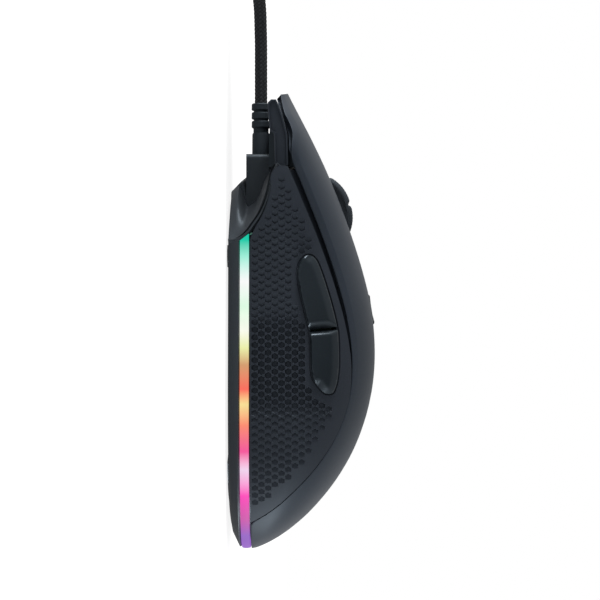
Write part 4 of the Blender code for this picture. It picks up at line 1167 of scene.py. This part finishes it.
def light_strip(finish, dark):
    """The translucent band, with a softly rounded face and slanted front ends, and the dark wall behind it."""
    low, high = rim_path(21.4, 3.72), rim_path(23.2, 6.12)
    rings = []
    normal = outward(low)
    for a, b, n in zip(low, high, normal):
        ring = []
        for inset, level in STRIP_SECTION:
            x, y, z = a + (b - a) * level
            depth = inset + STRIP_SINK
            ring.append((x - n[0] * depth, y - n[1] * depth, z))
        rings.append(ring)
    strip = loft("light_strip_lens", rings, finish)
    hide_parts("light_strip")
    behind = low[:, :2] - BACKING_INSET * normal
    rows = [[(x, y, z) for z in BACKING_HEIGHTS] for x, y in behind]
    wall = sheet("light_strip_backing", rows, dark, 0.4, (0, -10, 5))


TRAY_RINGS = [  # height, and the outline's scale across, behind the middle and ahead of it
    (0.55, 0.925, 0.855, 0.96), (0.55, 0.93, 0.86, 0.965), (0.75, 0.955, 0.885, 0.972), (1.25, 0.972, 0.93, 0.98),
    (3.1, 0.996, 0.992, 0.996), (3.42, 0.995, 0.992, 0.995), (3.45, 0.985, 0.985, 0.985),
    (3.45, 0.945, 0.965, 0.955), (2.1, 0.93, 0.955, 0.95),
]
TRAY_FLAT_BACK = -54.6  # the flat underside ends here; the tail is chamfered behind it
SENSOR_Y = -9.0
CASE_SCREWS = [(-22.0, -34.0), (22.0, -34.0), (-24.0, 23.6), (24.0, 23.6)]
BOARD_SCREW = (16.0, -20.0)


def base_tray(finish):
    """The tray below the strip, with its chamfered tail, the sensor window and the screw wells."""
    rim = rim_path(FACET_AT, STRIP_BOTTOM)
    chin = nose_ring(STRIP_BOTTOM)[7::2]
    chin = np.stack([np.maximum(0.93 * chin[:, 0] - 0.9, 0.0), chin[:, 1] - 1.6], axis=1)
    chin = chin[(chin[:, 0] > 0.3) & (chin[:, 1] > FACET_AT + 0.3)]
    left_chin = np.stack([-chin[:, 0], chin[:, 1], np.full(len(chin), STRIP_BOTTOM)], axis=1)
    right_chin = left_chin[::-1] * (-1, 1, 1)
    top = np.concatenate([rim, left_chin, right_chin])
    x, y = top[:, 0], top[:, 1]
    rings = []
    for z, side, back, front in TRAY_RINGS:
        ring_y = np.where(y < 0, y * back, y * front)
        if z < 1:
            ring_y = np.maximum(ring_y, TRAY_FLAT_BACK)
        rings.append(np.stack([x * side, ring_y, np.full(len(x), z)], axis=1))
    tray = loft("base_tray", rings, finish)
    cut_through(tray, rounded_section(4.0, 5.5, 1.5), SENSOR_Y, 0, 3)
    for screw in CASE_SCREWS:
        cut_with(tray, turned("well", [(0, 2.6), (3, 2.6)], finish, (*screw, 0), "Z", 24, body=None))
    sharpen(tray, 30)
    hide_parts("base_shell")
    profile = [(1.6, 1.4), (2.3, 1.4), (4.3, 1.4), (4.3, 2.6), (1.6, 3.0), (1.6, 1.4)]
    for side, name in ((-1, "board_post_left"), (1, "board_post_right")):
        post = turned(name, profile, finish, (side * BOARD_SCREW[0], BOARD_SCREW[1], 0), "Z", 24)


# ---------------------------------------------------------------- nose

SNOUT_HALF = 7.0
SNOUT_FRONT = 46.2
SNOUT_CORNER = 1.3
SNOUT_BOTTOM = 4.75
CHIN_FRONT, CHIN_SLOPE = 35.8, 0.93  # the chin's front at height 0, and how far it leans forward per mm up
CHIN_SWELL = (2.4, 5.5)  # the chin swells out of the sweep fully below the first height, not above the second
CHIN_LIFT = 0.009  # how much the chin's bottom rises per mm forward, per mm below 3.2
NOSE_EDGE = [  # (height, place of the panel's front edge)
    (0.5, 21.6), (3.5, 22.2), (6.1, 24.4), (7.4, 26.2), (9.7, 29.8), (11.9, 36.0), (12.9, 40.6), (13.8, 42.0),
]
SNOUT_ROOT = [(4.6, 30.8), (5.2, 31.3), (7.5, 33.2), (8.9, 35.9), (9.7, 38.3), (10.9, 40.7), (13.8, 43.0)]
nose_edge = smooth(NOSE_EDGE)
snout_root = smooth(SNOUT_ROOT)


def nose_sweep(side, edge, root):
    """The curve in plan from the panel's front edge to the snout's side."""
    t = np.linspace(0, 1, 30)[:, None]
    bend = np.array((0.72 * side + 0.28 * SNOUT_HALF, 0.25 * edge + 0.75 * root))
    start, stop = np.array((side - 0.45, edge + 0.15)), np.array((SNOUT_HALF, root))
    return (1 - t) ** 2 * start + 2 * t * (1 - t) * bend + t**2 * stop


def nose_ring(z):
    """Half of the nose in plan at height z: the swept side, then the snout or, below it, the chin."""
    edge, root = float(nose_edge(z)), float(snout_root(max(z, SNOUT_ROOT[0][0])))
    side = float(half_width(edge, z)) - 0.35
    flange = [(side - 1.8, edge - 0.9), (side - 0.02, edge - 0.86), (side + 0.05, edge - 0.8),
              (side + 0.02, edge - 0.05), (side - 0.08, edge)]
    swell = 1 - float(ease((z - CHIN_SWELL[0]) / (CHIN_SWELL[1] - CHIN_SWELL[0])))
    sweep = nose_sweep(side, edge, root)
    front = CHIN_FRONT + CHIN_SLOPE * z
    wide = side - 0.45

    def swollen(x):
        return front - (front - edge - 0.15) * np.minimum(x / wide, 1.0) ** 2.3

    sweep[:, 1] += swell * (swollen(sweep[:, 0]) - sweep[:, 1])
    if z > SNOUT_BOTTOM:
        angles = np.linspace(0, math.pi / 2, 7)
        corner = np.stack([SNOUT_HALF - SNOUT_CORNER + SNOUT_CORNER * np.cos(angles),
                           SNOUT_FRONT - SNOUT_CORNER + SNOUT_CORNER * np.sin(angles)], axis=1)
        wall = np.linspace(sweep[-1], corner[0], 5)[1:-1]
        middle = np.linspace(corner[-1], (0, SNOUT_FRONT), 4)[1:]
        return np.concatenate([flange, sweep, wall, corner, middle])
    angles = np.linspace(0, math.pi / 2, 14)[1:]
    x, low = SNOUT_HALF * np.cos(angles), sweep[-1, 1]
    beak = low + (front - low) * np.sin(angles)
    return np.concatenate([flange, sweep, np.stack([x, beak + swell * (swollen(x) - beak)], axis=1)])


def nose_shell(finish):
    """The nose below the buttons: it sweeps in from both sides to the cable's snout, over the chin."""
    levels = [0.6, 0.75, 1.3, 1.8, 2.3, 2.8, 3.3, 3.8, 4.2, 4.5, SNOUT_BOTTOM, SNOUT_BOTTOM + 0.02]
    rows = []
    for z in levels + list(np.arange(5.0, 13.9, 0.3)):
        half = nose_ring(float(z))
        row = np.concatenate([half, half[-2::-1] * (-1, 1)])
        height = z + CHIN_LIFT * np.clip(row[:, 1] - FACET_AT, 0, None) * max(3.2 - z, 0.0)
        rows.append(np.column_stack([row, height]))
    nose = sheet("nose_shell", rows, finish, 1.1, (0, 10, 10), angle=32)
    hole = turned("hole", [(42.0, 2.75), (50.0, 2.75)], finish, (0, 0, CORD_Z), "Y", 32, body=None)
    cut_with(nose, hole)
    sharpen(nose, 32)
    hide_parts("front_lower_shell")


FENDER_STATIONS = [  # across, and how far the profile is drawn in there
    (7.4, 0.2), (7.6, 0.0), (12.0, 0.0), (17.0, 0.0), (22.0, 0.0), (25.5, 0.0), (28.0, 0.0), (28.7, 0.0),
    (28.95, 0.12), (28.95, 0.50), (28.3, 0.58),
]


def fender(side, finish):
    """The insert under a button's nose, with a fine rim round its outer face and a lip in front."""
    name = "left_fender" if side < 0 else "right_fender"

    def profile(front, shrink):
        spots = [(40.4, 13.6), (front - 8.4, 13.3), (front - 7.8, 12.2), (front - 2.6, 11.7), (front - 0.5, 11.7),
                 (front - 0.1, 12.2), (front, 12.9), (front - 1.4, 13.6), (front - 4.4, 14.6), (front - 9.0, 15.8),
                 (41.7, 16.0)]
        return drawn_in(spots, shrink) if shrink else np.array(spots)

    rings = []
    for x, shrink in FENDER_STATIONS:
        front = 60.0 - 0.05 * max(x - 14.0, 0.0) ** 1.25
        rings.append([(side * x, y, z) for y, z in profile(front, shrink)])
    piece = loft(f"{name}_insert", rings, finish, angle=30)
    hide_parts(name)


def nose_core(finish):
    """The dark inner wall that closes the view between the fenders and the buttons."""
    rings = []
    for y in (41.5, 44.0, 47.0, 50.2, 50.5, 53.0, 54.7, 55.0):
        top = float(crown(y)) - 4.4
        low = 11.3 if y < 50.4 else 11.5
        section = ((-22, low), (22, low), (22.5, top - 1.2), (19, top), (-19, top), (-22.5, top - 1.2))
        rings.append([(x, y, z) for x, z in section])
    core = loft("nose_core", rings, finish)
    cut_through(core, rounded_section(5.2, 8.0, 1.0), 40, 10, 40)


# ---------------------------------------------------------------- wheel and boot

WHEEL_Y, WHEEL_Z, WHEEL_R = 28.9, 21.4, 13.15
LOBES = 8
FIRST_NOTCH = math.radians(74.0)
TYRE_SECTION = [  # across, down from the tread, and the share of the grip's depth there
    (-3.2, 2.2, 0), (-3.5, 1.6, 0), (-3.4, 0.9, 0.3), (-2.9, 0.25, 0.8), (-2.2, 0.03, 1), (-0.7, 0.0, 1),
    (0.7, 0.0, 1), (2.2, 0.03, 1), (2.9, 0.25, 0.8), (3.4, 0.9, 0.3), (3.5, 1.6, 0), (3.2, 2.2, 0),
    (3.2, 3.3, 0), (-3.2, 3.3, 0),
]
HUB_SECTION = [  # across, and radius
    (-3.2, 1.9), (-3.3, 3.4), (-1.6, 3.8), (-1.4, 7.9), (-3.2, 8.3), (-3.2, 9.4), (3.2, 9.4), (3.2, 8.3),
    (1.4, 7.9), (1.6, 3.8), (3.3, 3.4), (3.2, 1.9), (-3.2, 1.9),
]
AXLE_SECTION = [
    (-8.0, 1.2), (-7.7, 1.5), (-3.6, 1.5), (-3.6, 1.46), (3.6, 1.46), (3.6, 1.5), (8.7, 1.5), (9.0, 1.2),
]
HUB_HOLES, HUB_HOLE_REACH = 6, 5.9


def wheel(rubber, hub_finish, metal):
    """The scroll wheel: a lobed tyre with fine grip lines on a spoked hub."""
    steps = LOBES * 48
    angles = np.linspace(0, 2 * math.pi, steps, endpoint=False)
    away = (angles - FIRST_NOTCH + math.pi / LOBES) % (2 * math.pi / LOBES) - math.pi / LOBES
    notch = 0.62 * np.exp(-((away / 0.045) ** 2)) + 0.18 * (1 - np.abs(away) * LOBES / math.pi) ** 2
    fine = 0.05 * (0.5 + 0.5 * np.cos(steps / 4 * angles))
    rings = []
    for x, drop, grip in TYRE_SECTION:
        r = WHEEL_R - drop - grip * (notch + fine)
        ring = (np.full(steps, x), WHEEL_Y + r * np.cos(angles), WHEEL_Z + r * np.sin(angles))
        rings.append(np.stack(ring, axis=1))
    rings.append(rings[0])
    tyre = loft("wheel_tyre_lobed", rings, rubber, "wheel", capped=False)
    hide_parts("wheel_tyre")
    centre = (0, WHEEL_Y, WHEEL_Z)
    hub = turned("wheel_hub_spoked", HUB_SECTION, hub_finish, centre, "X", 72, "wheel")
    for i in range(HUB_HOLES):
        a = 2 * math.pi * i / HUB_HOLES
        spot = (0, WHEEL_Y + HUB_HOLE_REACH * math.cos(a), WHEEL_Z + HUB_HOLE_REACH * math.sin(a))
        cut_with(hub, turned("hole", [(-3, 1.35), (3, 1.35)], hub_finish, spot, "X", 20, body=None))
    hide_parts("wheel_hub")
    axle = turned("wheel_axle_turned", AXLE_SECTION, metal, centre, "X", 32, "wheel")
    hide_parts("wheel_axle")


def cable_boot(rubber):
    """The strain relief: a sleeve in the snout, a slim neck, and three ribs round the cord."""
    rings = [(43.5, 3.4), (43.7, 3.55), (44.2, 3.55), (44.3, 2.50), (46.6, 2.50), (52.0, 2.46), (52.4, 2.35),
             (52.5, 2.15), (53.7, 2.15), (53.85, 2.35)]
    for start in (53.9, 56.35, 58.8):
        stop = start + 1.95
        rings += [(start, 2.45), (start + 0.2, 2.66), (stop - 0.25, 2.62), (stop, 2.4)]
        if start < 58:
            rings += [(stop + 0.08, 2.05), (stop + 0.42, 2.05)]
    rings += [(60.8, 2.0), (60.8, 1.82), (60.0, 1.80)]
    boot = turned("cable_boot_ribbed", rings, rubber, (0, 0, CORD_Z), "Y", 56, angle=30)
    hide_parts("cable_boot")


# ---------------------------------------------------------------- the CAD's own solids

SWITCHES = ("left", "right", "middle", "dpi", "forward", "back")
CAD_SOLIDS = {  # the solids that are shown as the CAD has them, under the finish that each takes
    "steel": ["case_screw_rear_left", "case_screw_rear_right", "case_screw_front_left", "case_screw_front_right",
              "board_screw_left", "board_screw_right"],
    "skate": ["front_foot", "rear_foot"],
    "board": ["main_board", "thumb_board"],
    "black": ["sensor_chip", "controller_chip", "led_driver_chip", "wheel_carrier", "wheel_encoder", "inner_cable",
              "led_flex_board"] + [f"{name}_switch" for name in SWITCHES],
    "white": ["cable_connector", "capacitor"] + [f"{name}_switch_plunger" for name in SWITCHES],
    "clear": ["sensor_lens"],
}


def finish_cad_solids(metal, moulded, ivory):
    """Gives the CAD's own solids their materials."""
    finishes = {
        "steel": metal,
        "skate": grained("skate_slick", (0.018, 0.018, 0.019), 0.22, 0.9, 0.002),
        "board": circuit_board("board_solder_mask", (0.010, 0.085, 0.038)),
        "black": moulded,
        "white": ivory,
        "clear": clear_moulding("lens_moulded", (0.80, 0.82, 0.84)),
    }
    for look, names in CAD_SOLIDS.items():
        for name in names:
            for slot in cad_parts[name].material_slots:
                slot.material = finishes[look]


# ---------------------------------------------------------------- assembly

COLOUR = {
    "shell": (0.020, 0.025, 0.034), "panel": (0.017, 0.020, 0.027), "gloss": (0.008, 0.011, 0.014),
    "base": (0.026, 0.030, 0.035), "rubber": (0.017, 0.019, 0.023), "braid": (0.022, 0.024, 0.027),
    "boot": (0.016, 0.020, 0.025),
}


def main():
    braided = braid("cord_braid_painted_shade", COLOUR["braid"])
    rubber = grained("boot_rubber_moulded", COLOUR["boot"], 0.6, 0.3, 0.006)
    strap = grained("tie_hooks", (0.014, 0.014, 0.015), 0.95, 0.5, 0.12)
    metal = grained("steel_brushed", (0.58, 0.58, 0.57), 0.28, 1.2, 0.002, 0.06, metallic=1.0)
    ivory = grained("plastic_ivory", (0.70, 0.69, 0.64), 0.45, 0.6, 0.004)
    cord, route = free_cord(braided)
    pieces = [cord_tie(strap)] + plug(rubber, metal, ivory)
    shell = grained("shell_matte", COLOUR["shell"], 0.50, 0.35, 0.010, specular=0.32)
    panel = grained("panel_matte", COLOUR["panel"], 0.55, 0.30, 0.008, specular=0.32)
    gloss = grained("gloss_satin", COLOUR["gloss"], 0.34, 0.5, 0.003, specular=0.45)
    base = grained("base_moulded", COLOUR["base"], 0.46, 0.4, 0.008, specular=0.4)
    crown_skins(shell)
    centre_spine(gloss)
    wheel_shroud(gloss)
    dpi_button(gloss)
    for side in (-1, 1):
        side_panel(side, panel)
        fender(side, panel)
    thumb_button("forward_button", 1, gloss)
    thumb_button("back_button", -1, gloss)
    light_strip(glowing_strip(), gloss)
    base_tray(base)
    nose_shell(base)
    nose_core(gloss)
    moulded = grained("component_moulded", (0.020, 0.020, 0.021), 0.5, 0.25, 0.006)
    wheel(grained("tyre_rubber_soft", COLOUR["rubber"], 0.7, 0.4, 0.02), moulded, metal)
    cable_boot(rubber)
    finish_cad_solids(metal, moulded, ivory)
    add_camera()
    add_stage()


main()
